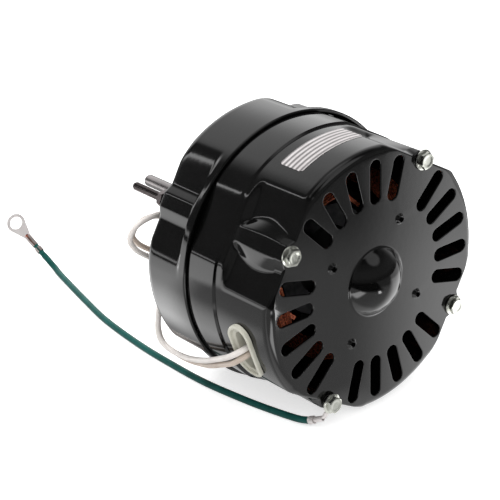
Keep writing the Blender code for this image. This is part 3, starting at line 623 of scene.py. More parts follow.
def flank(value, low, high):
    """A straight slope from nought to one, with a tight bend at its crest and a wider one at its foot."""
    share = min(1.0, max(0.0, (value - low) / (high - low)))
    steep = 1.0 / (1.0 - (CREST_EASE + FOOT_EASE) / 2.0)
    if share < CREST_EASE:
        return steep * share * share / (2.0 * CREST_EASE)
    if share > 1.0 - FOOT_EASE:
        return 1.0 - steep * (1.0 - share) ** 2 / (2.0 * FOOT_EASE)
    return steep * (share - CREST_EASE / 2.0)


def flattened(angle, lobe, flat, crest, foot, softness):
    """Radius of a drum with a flat at each bolt, and a rib along the flat."""
    turn = math.radians(abs(from_bolt(angle)))
    rib = (crest - flat) * (1.0 - flank(flat * math.tan(turn), RIB_TOP, foot))
    return soft_min(lobe, flat / math.cos(turn) + rib, softness)


def front_radius(angle, level):
    """Outer radius of the front shell: lobes, ribbed flats, then the wider skirt with narrow flats."""
    lobe = LOBE_RADIUS + (SKIRT_RADIUS - LOBE_RADIUS) * ramp(level, SHOULDER - 0.8 * mm, SHOULDER)
    turn = math.radians(from_bolt(angle))
    skirt = soft_min(lobe, lobe * math.cos(math.radians(SKIRT_FLAT)) / math.cos(turn), FRONT_CREASE)
    skirt -= JOGGLE * ramp(level, JOGGLE_START, SEAM + 0.4 * mm)
    foot = RIB_FOOT + RIB_SWELL * math.sin(math.pi * min(1.0, level / POCKET_END))
    pocket = flattened(angle, lobe, FRONT_FLAT, FRONT_CREST, foot, FRONT_CREASE)
    return pocket + (skirt - pocket) * ramp(level, POCKET_END - 2.0 * mm, POCKET_END + 2.0 * mm)


def rear_radius(angle, level):
    """Outer radius of the rear shell: a round rim at the seam, then ribbed flats."""
    pocket = flattened(angle, REAR_RADIUS, REAR_FLAT, REAR_CREST, REAR_RIB_FOOT, REAR_CREASE)
    return REAR_RADIUS + (pocket - REAR_RADIUS) * ramp(level, RIM_END, RIM_END + 2.5 * mm)


def corner_at(angle, lobe_corner, flat_corner):
    """Radius of the bend from an end face to the side, tighter at the flats."""
    return flat_corner + (lobe_corner - flat_corner) * ramp(abs(from_bolt(angle)), 16.0, 26.0)


def ring_angles():
    return [BOLT_ANGLE + 360.0 * k / RING_STEPS for k in range(RING_STEPS)]


def round_row(radius, level):
    return [polar(radius, a, depth(level)) for a in ring_angles()]


def spaced(start, end, step):
    count = max(1, round(abs(end - start) / step))
    return [start + (end - start) * k / count for k in range(count + 1)]


def side_rows(radius_at, face, corners, end, inset):
    """Rows from an end face's edge round its corner and along the side, or the same inside the wall."""
    away = 1.0 if end > face else -1.0
    rows = []
    for bend in bends(8):
        row = []
        for a in ring_angles():
            corner = corner_at(a, *corners)
            level = face + away * (inset + (corner - inset) * (1.0 - math.cos(bend)))
            radius = radius_at(a, face) - corner + (corner - inset) * math.sin(bend)
            row.append(polar(radius, a, depth(level)))
        rows.append(row)
    start = face + away * max(corners)
    step = SIDE_STEP if inset == 0.0 else INSIDE_STEP
    for level in spaced(start, end, step)[1:]:
        rows.append([polar(radius_at(a, level) - inset, a, depth(level)) for a in ring_angles()])
    return rows


def lip_rows(outline_at, place, wall, lip):
    """Rows of a cut edge: rounded over from the outer face, then straight through the wall."""
    rows = []
    for bend in bends(4):
        grow = lip * (1.0 - math.sin(bend))
        sink = lip * (1.0 - math.cos(bend))
        rows.append([place @ Vector((x, y, -sink)) for x, y in outline_at(grow)])
    rows.append([place @ Vector((x, y, -wall)) for x, y in outline_at(0.0)])
    return rows


def slot_outline(outer):
    middle = (outer + SLOT_INNER) / 2

    def at(grow):
        shape = stadium(outer - SLOT_INNER + 2 * grow, SLOT_WIDTH + 2 * grow)
        return [(x + middle, y) for x, y in shape]
    return at


def hole_outline(radius, centre):
    def at(grow):
        return [(x + centre, y) for x, y in circle(radius + grow, 32)]
    return at


def collar_rows(centre, place):
    """Rows up the outside of a small pierced collar, over its rim and down its hole."""
    slope = (COLLAR_FOOT - COLLAR_HOLE) * 0.8
    profile = []
    for k in range(9):
        share = k / 8
        profile.append((COLLAR_FOOT - slope * share, COLLAR_HEIGHT * ramp(share, 0.0, 1.0)))
    profile += [(COLLAR_HOLE, COLLAR_HEIGHT - 0.15 * mm), (COLLAR_HOLE, -COLLAR_DEPTH)]
    return [[place @ Vector((x + centre, y, z)) for x, y in circle(radius, 32)] for radius, z in profile]


def dome_profile():
    """Radius and depth up the round bearing cap: a fillet out of the face that runs into a cap of a ball."""
    inner = DOME_FOOT - DOME_FILLET
    ball = (inner * inner + DOME_HEIGHT * DOME_HEIGHT) / (2.0 * DOME_HEIGHT)
    slope = math.asin(inner / ball)
    profile = []
    for k in range(9):
        bend = slope * k / 8
        reach = DOME_FILLET * math.sin(bend) / math.sin(slope)
        rise = DOME_FILLET * (1.0 - math.cos(bend)) / math.sin(slope)
        profile.append((DOME_FOOT - reach, -rise))
    foot = profile[-1][1]
    for k in range(1, 29):
        bend = slope * (1.0 - 0.98 * k / 28)
        profile.append((ball * math.sin(bend), foot - ball * (math.cos(bend) - math.cos(slope))))
    return profile


def cut_face(work, level, normal, outside, inside, slots):
    """Slots and bolt holes through an end face, whose edges join those of its two sides."""
    holes = [(hole_outline(BOLT_HOLE, BOLT_RADIUS), bolt_angle(k), HOLE_LIP) for k in range(BOLT_COUNT)]
    for outline, angle, lip in slots + holes:
        rows = lip_rows(outline, face_out(depth(level), angle, normal), SHELL_WALL, lip)
        loft(work, rows)
        outside.append(rows[0])
        inside.append(rows[-1])


def build_front_shell(mat):
    work = bmesh.new()
    corners = (FACE_CORNER, FACE_FLAT_CORNER)
    outer = side_rows(front_radius, 0.0, corners, SKIRT_END, 0.0)
    inner = side_rows(front_radius, 0.0, corners, SKIRT_END, SHELL_WALL)
    loft(work, outer + inner[::-1])
    dome = dome_profile()
    hollow = [(r * (1.0 - SHELL_WALL / DOME_FOOT), t + SHELL_WALL) for r, t in dome]
    loft(work, [round_row(r, t) for r, t in dome], close_end=True)
    loft(work, [round_row(r, t) for r, t in hollow], close_end=True)
    outside = [outer[0], round_row(*dome[0])]
    inside = [inner[0], round_row(*hollow[0])]
    slot = slot_outline(SLOT_OUTER)
    turns = [a for a in range(0, 360, SLOT_STEP) if a % 90 != 0]
    cut_face(work, 0.0, FRONT, outside, inside, [(slot, BOLT_ANGLE + a, SLOT_LIP) for a in turns])
    for index in range(BOLT_COUNT):
        rows = collar_rows(COLLAR_PLACE, face_out(depth(0.0), bolt_angle(index), FRONT))
        loft(work, rows, close_end=True)
        outside.append(rows[0])
    fill_between(work, outside, FRONT)
    fill_between(work, inside, BACK)
    shell = finished("front_shell_enamelled", work, mat, "enamel", replaces=("front_shell",))
    cut_window(shell)
    return weighted(shell)


def cut_window(shell):
    """The opening that the grommet's neck fills."""
    work = bmesh.new()
    outline = stadium(GROMMET_LONG - GROMMET_LIP, GROMMET_WIDE - GROMMET_LIP)
    place = facing(GROMMET_ANGLE, LOBE_RADIUS, depth(GROMMET_DEPTH))
    rows = [[place @ Vector((x, y, z)) for x, y in outline] for z in (-6.0 * mm, 6.0 * mm)]
    loft(work, rows, close_start=True, close_end=True)
    bmesh.ops.recalc_face_normals(work, faces=work.faces)
    tool = linked("window_tool", meshed("window_tool", work))
    mod = shell.modifiers.new("window", "BOOLEAN")
    mod.operation = "DIFFERENCE"
    mod.object = tool
    graph = bpy.context.evaluated_depsgraph_get()
    cut = bpy.data.meshes.new_from_object(shell.evaluated_get(graph))
    shell.modifiers.clear()
    shell.data = cut
    bpy.data.objects.remove(tool, do_unlink=True)


def build_rear_shell(mat):
    work = bmesh.new()
    corners = (REAR_CORNER, REAR_FLAT_CORNER)
    outer = side_rows(rear_radius, BODY_LENGTH, corners, SEAM + HEM, 0.0)
    inner = side_rows(rear_radius, BODY_LENGTH, corners, SEAM + HEM, SHELL_WALL)
    hem = []
    for bend in bends(6)[1:]:
        hem.append(round_row(REAR_RADIUS - HEM * (1.0 - math.cos(bend)), SEAM + HEM * (1.0 - math.sin(bend))))
    hem.append(round_row(SKIRT_RADIUS + 0.15 * mm, SEAM + 0.1 * mm))
    loft(work, outer + hem + inner[::-1])
    top = BODY_LENGTH + HUB_HEIGHT
    hub = []
    for sign, level, across, up in ((1.0, BODY_LENGTH, math.sin, math.cos), (-1.0, top, math.cos, math.sin)):
        for bend in bends(8):
            hub.append((HUB_RADIUS + sign * HUB_FOOT * (1.0 - across(bend)),
                        level + sign * HUB_FOOT * (1.0 - up(bend))))
    hub.append((HUB_HOLE, top))
    hollow = [(HUB_HOLE, top - SHELL_WALL)]
    hollow += [(r - SHELL_WALL, t - SHELL_WALL) for r, t in hub[-2::-1]]
    loft(work, [round_row(r, t) for r, t in hub + hollow])
    outside = [outer[0], round_row(*hub[0])]
    inside = [inner[0], round_row(*hollow[-1])]
    slot = slot_outline(REAR_SLOT_OUTER)
    turns = [bolt_angle(k) + v for k in range(BOLT_COUNT) for v in (30.0, 60.0)]
    cut_face(work, BODY_LENGTH, BACK, outside, inside, [(slot, a, REAR_SLOT_LIP) for a in turns])
    fill_between(work, outside, BACK)
    fill_between(work, inside, FRONT)
    return weighted(finished("rear_shell_enamelled", work, mat, "enamel", replaces=("rear_shell",)))


# Windings
def signed_power(value, power):
    return math.copysign(abs(value) ** power, value)


def strand_run(index, rng):
    """One unbroken strand round a pole: layers on layers, slightly uneven as wound wire is."""
    middle = depth((STACK_START + STACK_END) / 2)
    half_length = (STACK_END - STACK_START) / 2 + COIL_OVERHANG
    per_layer = int(COIL_BUILD / STRAND_PITCH)
    points = []
    samples = 40
    place_at = facing(pole_angle(index), COIL_SEAT, middle)
    for layer in range(STRAND_LAYERS):
        grow = (layer - (STRAND_LAYERS - 1) / 2) * LAYER_PITCH
        for loop in range(per_layer):
            up = loop if layer % 2 == 0 else per_layer - 1 - loop
            wobble = rng.uniform(-STRAND_WOBBLE, STRAND_WOBBLE)
            for k in range(samples):
                turn = 2 * math.pi * k / samples
                climb = (k / samples) * (1 if layer % 2 == 0 else -1)
                bulge = 1.0 + 0.03 * math.sin(turn * 3 + loop)
                x = (COIL_HALF_WIDTH + grow) * signed_power(math.cos(turn), COIL_SQUARENESS)
                y = (half_length + grow + wobble) * signed_power(math.sin(turn), COIL_SQUARENESS) * bulge
                z = (up + climb) * STRAND_PITCH + wobble
                points.append(place_at @ Vector((x, y, z)))
    return points


def build_windings(mat):
    rng = random.Random(7)
    for index in range(POLE_COUNT):
        tube(f"winding_strands_{index + 1}", strand_run(index, rng), STRAND_RADIUS, mat, sides=1,
             replaces=(f"winding_{index + 1}",))


# Fasteners and shaft
def hex_radius(flats, angle):
    return flats / 2 / math.cos(math.radians((angle % 60.0) - 30.0))


def hex_top(flats, level, angle, slope=0.5):
    """Level of a hexagon's upper edge where its corners are chamfered."""
    return level - max(0.0, hex_radius(flats, angle) - flats * 0.485) * slope


def turned_row(place, radius, level):
    return [place @ around(radius, a, level) for a in TURN_ANGLES]


def hexed_row(place, flats, level_at):
    return [place @ around(hex_radius(flats, a), a, level_at(a)) for a in TURN_ANGLES]


def thread_rows(place, start, end):
    """Rows down a screw thread, from a level to a lower one."""
    rows = []
    for level in spaced(start, end, THREAD_PITCH / 6):
        row = []
        fade = ramp(level, end, end + THREAD_PITCH)
        for a in TURN_ANGLES:
            phase = (level / THREAD_PITCH + a / 360.0) % 1.0
            cut = THREAD_DEPTH * abs(2.0 * phase - 1.0)
            row.append(place @ around(STUD_RADIUS - cut * fade - THREAD_POINT * (1.0 - fade), a, level))
        rows.append(row)
    return rows


def bolt_place(index, level, spin):
    """Local Z on a bolt's axis, out of the vented face, turned by an angle."""
    place = Matrix.Translation(polar(BOLT_RADIUS, bolt_angle(index), level))
    return place @ Matrix.Rotation(math.radians(90.0), 4, "X") @ Matrix.Rotation(math.radians(spin), 4, "Z")


def build_bolt(index, mat):
    lift = 2 * FIT_GAP + LUG_THICK if index == LUG_BOLT else FIT_GAP
    end = STUD_END if index in LONG_STUDS else SHORT_BOLT_END
    place = bolt_place(index, depth(-lift), HEX_TURN + HEX_TURN_STEP * index)
    thread_start = -(THREAD_START + lift)
    rows = [turned_row(place, HEX_FLATS * share, HEX_HEIGHT + drop) for share, drop in HEX_DISH]
    rows += [hexed_row(place, HEX_FLATS * 0.985, lambda a: hex_top(HEX_FLATS, HEX_HEIGHT - 0.05 * mm, a)),
             hexed_row(place, HEX_FLATS, lambda a: hex_top(HEX_FLATS, HEX_HEIGHT - 0.25 * mm, a)),
             hexed_row(place, HEX_FLATS, lambda a: WASHER_THICK + 0.15 * mm),
             turned_row(place, HEX_FLATS * 0.60, WASHER_THICK)]
    rows += [turned_row(place, WASHER_RADIUS - inset, WASHER_THICK * share) for inset, share in WASHER_EDGE]
    rows += [turned_row(place, STUD_RADIUS, level) for level in (0.0, thread_start)]
    rows += thread_rows(place, thread_start - 0.1 * mm, -(end + lift))
    return lofted(f"through_bolt_{index + 1}_plated", rows, mat, "zinc", True, angle=28.0,
                  replaces=(f"through_bolt_{index + 1}",))


def build_nut(index, mat):
    place = bolt_place(index, depth(BODY_LENGTH + FIT_GAP + NUT_HEIGHT / 2), NUT_TURN_STEP * index)
    half = NUT_HEIGHT / 2
    bore = STUD_RADIUS + 0.05 * mm
    rows = []
    for sign in (1.0, -1.0):
        ends = [turned_row(place, bore, sign * (half - 0.4 * mm)),
                turned_row(place, bore + 0.4 * mm, sign * half),
                turned_row(place, NUT_FLATS * 0.475, sign * half),
                hexed_row(place, NUT_FLATS, lambda a: sign * hex_top(NUT_FLATS, half, a))]
        rows += ends if sign > 0 else ends[::-1]
    rows.append(rows[0])
    return lofted(f"stud_nut_{index + 1}_plated", rows, mat, "zinc", False, angle=28.0,
                  replaces=(f"stud_nut_{index + 1}",))


def build_shaft(mat):
    chamfer = 0.8 * mm
    profile = [(SHAFT_RADIUS - chamfer, SHAFT_START), (SHAFT_RADIUS, SHAFT_START + chamfer),
               (SHAFT_RADIUS, SHAFT_END - chamfer),
               (SHAFT_RADIUS - 0.25 * chamfer, SHAFT_END - 0.3 * chamfer),
               (SHAFT_RADIUS - chamfer, SHAFT_END)]
    rows = [[polar(r, 6.0 * k, depth(t)) for k in range(60)] for r, t in profile]
    return lofted("shaft_ground", rows, mat, "steel", True, body="rotor", replaces=("shaft",))


# Leads and terminals
def build_grommet(mat):
    """A moulded strain relief: a thin rim standing round a hollow with a sunken floor."""
    place = facing(GROMMET_ANGLE, LOBE_RADIUS, depth(GROMMET_DEPTH))
    neck = -2 * FIT_GAP - GROMMET_LIP
    mouth = neck - 4.0 * mm

    def row(grow, rise):
        points = []
        for x, y in stadium(GROMMET_LONG + grow, GROMMET_WIDE + grow, 24):
            seat = math.sqrt((LOBE_RADIUS + FIT_GAP) ** 2 - x * x) - LOBE_RADIUS
            points.append(place @ Vector((x, y, seat + rise)))
        return points

    soft = 0.6 * mm
    rows = [row(neck, -4.2 * mm), row(neck, 0.0), row(-0.3 * mm, 0.0)]
    for start, sign in ((0.0, 1.0), (-3.6 * mm, -1.0)):
        for bend in bends(5) if sign > 0 else bends(5)[::-1]:
            rows.append(row(start - sign * 2 * soft * (1.0 - math.cos(bend)),
                            GROMMET_RISE - soft * (1.0 - math.sin(bend))))
    rows += [row(-3.8 * mm, 0.7 * mm), row(-4.3 * mm, 0.5 * mm), row(mouth + 0.6 * mm, 0.5 * mm),
             row(mouth, 0.2 * mm), row(mouth, -4.2 * mm)]
    rows.append(rows[0])
    return lofted("lead_grommet_moulded", rows, mat, "nylon", False, replaces=("lead_grommet",))


def ring_plate(work, centre, normal, towards, eye, hole, reach, neck):
    """The ring of a terminal and the tongue that narrows from it, pressed from sheet."""
    up = normal.normalized()
    along = (towards - up * towards.dot(up)).normalized()
    side = up.cross(along)
    place = axes(along, side, up, centre)
    start = math.acos((eye - neck) / reach)
    edge = 0.14 * mm

    def outline(grow):
        shape = []
        for k in range(49):
            turn = start + (2 * math.pi - 2 * start) * k / 48
            shape.append(((eye + grow) * math.cos(turn), (eye + grow) * math.sin(turn)))
        return shape + [(reach, -neck - grow), (reach, neck + grow)]

    top = LUG_THICK / 2
    levels = ((-edge, -top), (0.0, -top + edge), (0.0, top - edge), (-edge, top))
    rim = [[place @ Vector((x, y, z)) for x, y in outline(grow)] for grow, z in levels]
    bore = [[place @ Vector((x, y, z)) for x, y in circle(hole - grow, 48)] for grow, z in levels]
    loft(work, rim)
    loft(work, bore)
    fill_between(work, [rim[-1], bore[-1]], up)
    fill_between(work, [rim[0], bore[0]], -up)


def rolled_sheet(work, place, start, end, opening, radius):
    """A strip rolled into a channel round local Z, open on the side of local X by this angle at each end."""
    rows = []
    for share in (0.0, 0.06, 0.5, 0.94, 1.0):
        level = start + (end - start) * share
        wide = opening[0] + (opening[1] - opening[0]) * share
        angles = [wide + (360.0 - 2 * wide) * j / 24 for j in range(25)]
        thin = 0.08 * mm if share in (0.0, 1.0) else 0.0
        outside = [around(radius - thin, a, level) for a in angles]
        inside = [around(radius - CRIMP_SHEET + thin, a, level) for a in angles[::-1]]
        rows.append([place @ point for point in outside + inside])
    loft(work, rows, close_start=True, close_end=True)


def build_lug(bolt, lug_start, lug_end, mat):
    """The eye under the bolt head, a tongue bent back from it, a crimp and ears round the insulation."""
    crimp_end = lug_end.lerp(lug_start, LUG_CRIMP_SHARE)
    crimp_end.z += LUG_CRIMP_RISE
    along = crimp_end - bolt
    along.y = 0.0
    along.normalize()
    side = FRONT.cross(along)
    reach = LUG_EYE + 0.3 * mm
    bend = bolt + along * reach
    slope = (crimp_end - bend).normalized().cross(side)
    work = bmesh.new()
    ring_plate(work, bolt, FRONT, along, LUG_EYE, STUD_RADIUS + FIT_GAP, reach, LUG_NECK)
    rows = []
    for centre, normal in ((bend - along * 0.2 * mm, FRONT), (bend + along * 0.3 * mm, FRONT),
                           (bend.lerp(crimp_end, 0.3), slope), (crimp_end, slope)):
        thick = normal.normalized() * (LUG_THICK / 2)
        if thick.dot(FRONT) < 0.0:
            thick.negate()
        left = centre - side * LUG_NECK
        right = centre + side * LUG_NECK
        rows.append([left + thick, right + thick, right - thick, left - thick])
    loft(work, rows, close_start=True, close_end=True)
    place = aimed(lug_end, crimp_end)
    length = (crimp_end - lug_end).length
    ears = length * LUG_EAR_SHARE
    rolled_sheet(work, place, 0.0, ears, (10.0, 10.0), BARREL_RADIUS)
    rolled_sheet(work, place, ears * 0.7, length, (6.0, 6.0), LUG_CRIMP_RADIUS)
    return finished("ground_lug_crimped", work, mat, "tin", angle=35.0, replaces=("ground_lug",))


def build_ring(ring_start, outward, tin, steel, copper, green):
    """The free end's terminal: ring, crimp folded over the bare strands, and ears round the insulation."""
    ring_end = ring_start + outward * BARREL_LENGTH
    tilt = RING_TILT - outward * RING_TILT.dot(outward)
    work = bmesh.new()
    ring_plate(work, ring_end + outward * RING_REACH, tilt, -outward, RING_RADIUS, RING_HOLE,
               RING_REACH + 1.5 * mm, 1.5 * mm)
    ring = finished("ground_ring_eye", work, tin, "tin", angle=35.0, replaces=("ground_ring",))
    up = tilt.normalized()
    place = axes(up, (-outward).cross(up), -outward, ring_end)
    work = bmesh.new()
    rolled_sheet(work, place, 0.6 * mm, STRAND_END, (13.0, 9.0), BARREL_RADIUS - 0.2 * mm)
    rolled_sheet(work, place, STRAND_END + 1.6 * mm, BARREL_LENGTH - 2.4 * mm, (14.0, 14.0), BARREL_RADIUS)
    # The crimp's material, passed in as steel, is a darker copy of the terminal's tin: painted shade on the
    # folded barrel.
    crimp = finished("ground_ring_crimp", work, steel, "steel", angle=35.0)
    route = [ring_start, ring_end - outward * STRAND_END]
    sleeve = tube("ground_ring_sleeve", route, SLEEVE_RADIUS, green)
    bare_end = STRAND_END + 0.5 * mm
    bare = twisted_strands("ground_ring_strands", place, -0.6 * mm, bare_end, RING_STRAND, copper)
    return [ring, crimp, sleeve, bare]


def twisted_strands(name, place, start, end, strand, mat):
    """Seven strands twisted round local Z."""
    work = bmesh.new()
    for k in range(7):
        rows = []
        for share in (0.0, 0.2, 0.4, 0.6, 0.8, 1.0):
            off = 0.0 if k == 6 else 2.05 * strand
            centre = around(off, 60.0 * k + 200.0 * share, start + (end - start) * share)
            rows.append([place @ (centre + Vector((x, y, 0.0))) for x, y in circle(strand, 8)])
        loft(work, rows, close_start=True, close_end=True)
    return finished(name, work, mat, "copper")


def build_cords(white, tan, green, tin, steel, copper):
    bolt = polar(BOLT_RADIUS, bolt_angle(LUG_BOLT), depth(-FIT_GAP - LUG_THICK / 2))
    points, length = smooth_route(GROUND_ROUTE, LEAD_STEP)
    ground = tube("ground_wire_insulated", points, GROUND_RADIUS, green,
                  replaces=("ground_wire",))
    inward = (points[0] - points[1]).normalized()
    lug_end = points[0] + inward * FIT_GAP
    lug_start = lug_end + inward * ((bolt.y - lug_end.y) / inward.y)
    build_lug(bolt, lug_start, lug_end, tin)
    outward = (points[-1] - points[-2]).normalized()
    ring = build_ring(points[-1] + outward * FIT_GAP, outward, tin, steel, copper, green)
    for name, route, mat, slot_name in (("lead_white", WHITE_ROUTE, white, "white_wire"),
                                        ("lead_tan", TAN_ROUTE, tan, "tan_wire")):
        points, length = smooth_route(route, LEAD_STEP)
        lead = tube(f"{name}_insulated", points, LEAD_RADIUS, mat, replaces=(name,))
        cut_end = aimed(points[-1], 2 * points[-1] - points[-2])
        strands = twisted_strands(f"{name}_strands", cut_end, -0.5 * mm, LEAD_BARE, LEAD_STRAND, copper)


def build_label(mat):
    """A thin pale sticker that follows the shell's lobe, with rounded corners."""
    low, high = LABEL_ANGLES
    height = math.radians(high - low) * LOBE_RADIUS
    half_width = (LABEL_END - LABEL_START) / 2
    columns = 64
    rows = []
    for i in range(columns + 1):
        x = height * (i / columns - 0.5)
        inset = max(0.0, abs(x) - (height / 2 - LABEL_CORNER))
        reach = half_width - LABEL_CORNER + math.sqrt(max(0.0, LABEL_CORNER ** 2 - inset ** 2))
        angle = (low + high) / 2 + math.degrees(x / LOBE_RADIUS)
        level = (LABEL_START + LABEL_END) / 2
        corners = ((LABEL_UNDER, -reach), (LABEL_UNDER, reach), (LABEL_TOP, reach), (LABEL_TOP, -reach))
        rows.append([polar(LOBE_RADIUS + lift, angle, depth(level + off)) for lift, off in corners])
    return lofted("label_blank", rows, mat, "nylon", True)


# Finishes of the solids that show as they are
def dress_solids(finishes):
    for name, mat in finishes.items():
        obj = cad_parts[name]
        obj.data.materials.clear()
        obj.data.materials.append(mat)


# Stage
def mirrored_paper(tree):
    """How bright the paper looks in the enamel: a dim table, with brighter places round the part."""
    split = tree.place("Object")[1]
    x = split["X"]
    y = split["Y"]
    along = tree.plus(x, -MIRRORED_CAMERA.x)
    across = tree.plus(y, -MIRRORED_CAMERA.y)
    right = tree.times(tree.rising(tree.bearing(along, across), *RIGHT_BEARING), tree.rising(y, *RIGHT_END),
                       tree.rising(x, *RIGHT_FADE))
    slant = tree.plus(y, tree.times(x, BEHIND_SLANT))
    behind = tree.largest(tree.rising(slant, *BEHIND_EDGE), tree.rising(y, *BEHIND_FAR))
    beside = tree.times(tree.rising(x, *BESIDE_X), tree.rising(y, *BESIDE_Y))
    behind = tree.times(tree.plus(behind, beside), tree.rising(x, *BEHIND_RIGHT))
    card = tree.times(tree.band(x, *CARD_X), tree.band(y, *CARD_Y), CARD_GLOW)
    lamp = tree.times(tree.band(x, *LAMP_X), tree.band(y, *LAMP_Y), LAMP_GLOW)
    foot = tree.times(tree.rising(x, *FOOT_X), tree.band(y, *FOOT_Y))
    reach = tree.plus(tree.times(along, along), tree.times(across, across))
    table = tree.times(tree.rising(reach, *TABLE_REACH),
                       tree.largest(tree.rising(x, *TABLE_X), tree.rising(y, *TABLE_Y)))
    return tree.plus(right, behind, card, lamp, foot, table)


def build_stage():
    """White paper: it glows faintly for the camera, keeps the shadow, and is mirrored unevenly."""
    work = bmesh.new()
    bmesh.ops.create_circle(work, cap_ends=True, radius=4.0, segments=96)
    floor = linked("floor", meshed("floor", work))
    floor.location.z = FLOOR_LEVEL
    mat, tree, shader = new_material("floor_white")
    shader.inputs["Base Color"].default_value = (0.90, 0.90, 0.90, 1.0)
    shader.inputs["Roughness"].default_value = 0.9
    shader.inputs["Specular IOR Level"].default_value = 0.0
    shader.inputs["Emission Color"].default_value = WHITE
    seen = tree.new("LightPath").outputs["Is Camera Ray"]
    tree.put(tree.times(seen, FLOOR_GLOW), shader.inputs["Emission Strength"])
    mirrored = tree.new("Emission", {"Strength": mirrored_paper(tree)})
    tree.mirrored_apart(shader.outputs["BSDF"], mirrored.outputs["Emission"], "Material Output")
    floor.data.materials.append(mat)


def area_light(name, place, aim, size, power):
    data = bpy.data.lights.new(name, "AREA")
    data.shape = "RECTANGLE"
    data.size = size[0]
    data.size_y = size[1]
    data.energy = power
    obj = linked(name, data)
    obj.matrix_world = aimed(Vector(place), Vector(aim)) @ Matrix.Rotation(math.pi, 4, "X")
    return obj


def mirrored_studio(tree):
    """How bright the room looks in the enamel: dark, with a backdrop behind on the right and a few lights."""
    heading, split = tree.place("Generated")
    z = split["Z"]
    bearing = tree.bearing(split["X"], split["Y"])
    backdrop = tree.times(tree.rising(bearing, *BACKDROP_LEFT), tree.rising(bearing, *BACKDROP_RIGHT),
                          tree.rising(z, *BACKDROP_MIDDLE), tree.rising(z, *BACKDROP_FOOT),
                          tree.rising(z, *BACKDROP_TOP))
    overhead = tree.rising(z, *OVERHEAD)
    room = tree.rising(split["Y"], *ROOM_BEHIND)
    strip = tree.times(tree.band(bearing, *STRIP_BEARING), tree.band(z, *STRIP_HEIGHT), STRIP_GLOW)
    low_strip = tree.times(tree.band(bearing, *LOW_STRIP_BEARING), tree.band(z, *LOW_STRIP_HEIGHT),
                           LOW_STRIP_GLOW)
    towards = tree.new("VectorMath", {0: heading, 1: FILL_HEADING}, operation="DOT_PRODUCT")
    fill = tree.rising(towards.outputs["Value"], *FILL_EDGE)
    return tree.plus(backdrop, overhead, room, strip, low_strip, fill)


def build_world():
    """White to the camera and even white light, but a dark studio with bright places to mirrors."""
    world = bpy.data.worlds.new("studio")
    tree = Tree(world)
    even = tree.nodes["Background"]
    even.inputs["Color"].default_value = WHITE
    seen = tree.new("LightPath").outputs["Is Camera Ray"]
    tree.put(tree.largest(seen, WORLD_STRENGTH), even.inputs["Strength"])
    mirrored = tree.new("Background", {"Strength": mirrored_studio(tree)})
    tree.mirrored_apart(even.outputs["Background"], mirrored.outputs["Background"], "World Output")
    bpy.context.scene.world = world


def build_lights():
    """Two softboxes that light the part and aren't mirrored in it."""
    top = area_light("softbox_top", place=(-0.10, 0.45, 1.20), aim=(-0.02, -0.02, 0.0), size=(1.5, 0.9),
                     power=20.0)
    front = area_light("softbox_front", place=(-0.75, -1.15, 0.95), aim=(0.0, -0.05, 0.0), size=(0.8, 0.8),
                       power=9.0)
    for light in (top, front):
        light.visible_glossy = False


def build_camera():
    azimuth = math.radians(CAMERA_AZIMUTH)
    elevation = math.radians(CAMERA_ELEVATION)
    away = Vector((math.sin(azimuth) * math.cos(elevation), -math.cos(azimuth) * math.cos(elevation),
                   math.sin(elevation)))
    data = bpy.data.cameras.new("camera")
    data.lens = CAMERA_LENS
    data.sensor_width = 36.0
    camera = linked("camera", data)
    camera.matrix_world = Matrix.Translation(CAMERA_AIM + away * CAMERA_DISTANCE) @ \
        away.to_track_quat("Z", "Y").to_matrix().to_4x4()
    bpy.context.scene.camera = camera
    bpy.context.scene.view_settings.view_transform = "Standard"


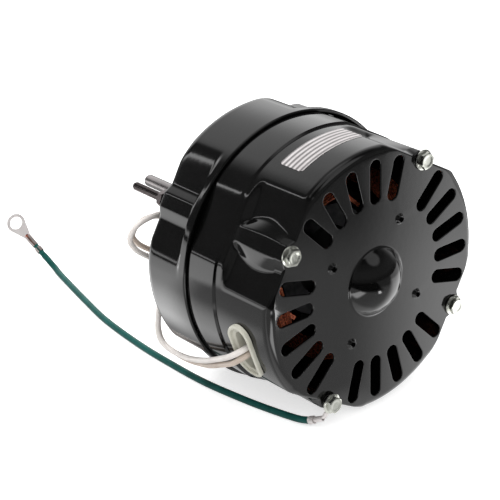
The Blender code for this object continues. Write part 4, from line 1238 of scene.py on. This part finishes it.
def main():
    enamel = enamel_material()
    copper = surface("enamelled_copper", (0.13, 0.022, 0.012), (0.90, 0.27, 0.14), 900.0, (0.22, 0.40), 0.85)
    # Painted shade: the laminations' near-black tone stands in for the dark inside of the shells.
    lamination = surface("lamination_steel", (0.004,) * 3, (0.012,) * 3, 200.0, (0.50, 0.70), 0.9, bump=0.4,
                         fine=1500.0, stretch=(0.1, 1.0, 0.1))
    # Painted shade: the end rings' near-black tone stands in for the dark inside of the body.
    alloy = surface("cast_aluminium", (0.015, 0.015, 0.016), (0.05, 0.05, 0.052), 250.0, (0.35, 0.55), 1.0)
    steel = surface("ground_steel", (0.17, 0.16, 0.16), (0.23, 0.21, 0.21), 60.0, (0.22, 0.30), 1.0,
                    bump=0.02)
    bronze = surface("sintered_bronze", (0.36, 0.22, 0.10), (0.52, 0.34, 0.16), 500.0, (0.40, 0.60), 1.0)
    felt = surface("oil_felt", (0.50, 0.46, 0.36), (0.66, 0.61, 0.50), 700.0, (0.85, 1.0), bump=0.6)
    zinc = bolt_material()
    tin = surface("tinned_brass", (0.70, 0.66, 0.65), (0.80, 0.76, 0.75), 200.0, (0.38, 0.50), 0.55)
    # A darker copy of the tin for the ring's crimp: painted shade on its folds.
    crimped = surface("crimp_tin_painted_shade", (0.30, 0.26, 0.25), (0.42, 0.37, 0.35), 300.0, (0.30, 0.42), 0.8)
    nylon = surface("cream_nylon", (0.44, 0.43, 0.36), (0.54, 0.53, 0.46), 140.0, (0.35, 0.55))
    white = surface("white_insulation", (0.62, 0.58, 0.55), (0.74, 0.70, 0.67), 120.0, (0.38, 0.55))
    tan = surface("tan_insulation", (0.46, 0.38, 0.32), (0.60, 0.51, 0.44), 120.0, (0.38, 0.55))
    green = surface("green_insulation", (0.004, 0.055, 0.046), (0.010, 0.090, 0.078), 150.0, (0.28, 0.42),
                    shine=0.18)

    build_camera()
    build_cords(white, tan, green, tin, crimped, copper)
    build_front_shell(enamel)
    build_rear_shell(enamel)
    build_windings(copper)
    for index in range(BOLT_COUNT):
        build_bolt(index, zinc)
        build_nut(index, zinc)
    build_shaft(steel)
    build_grommet(nylon)
    build_label(label_material())

    finishes = {"stator_core": lamination, "rotor_core": lamination, "rotor_end_ring_front": alloy,
                "rotor_end_ring_rear": alloy}
    for side in ("front", "rear"):
        finishes[f"{side}_thrust_washer"] = steel
        finishes[f"{side}_bearing"] = bronze
        finishes[f"{side}_bearing_cup"] = steel
        finishes[f"{side}_oil_wick"] = felt
    for index in range(POLE_COUNT):
        finishes[f"shading_ring_{index + 1}"] = copper
    dress_solids(finishes)

    build_stage()
    build_world()
    build_lights()


main()
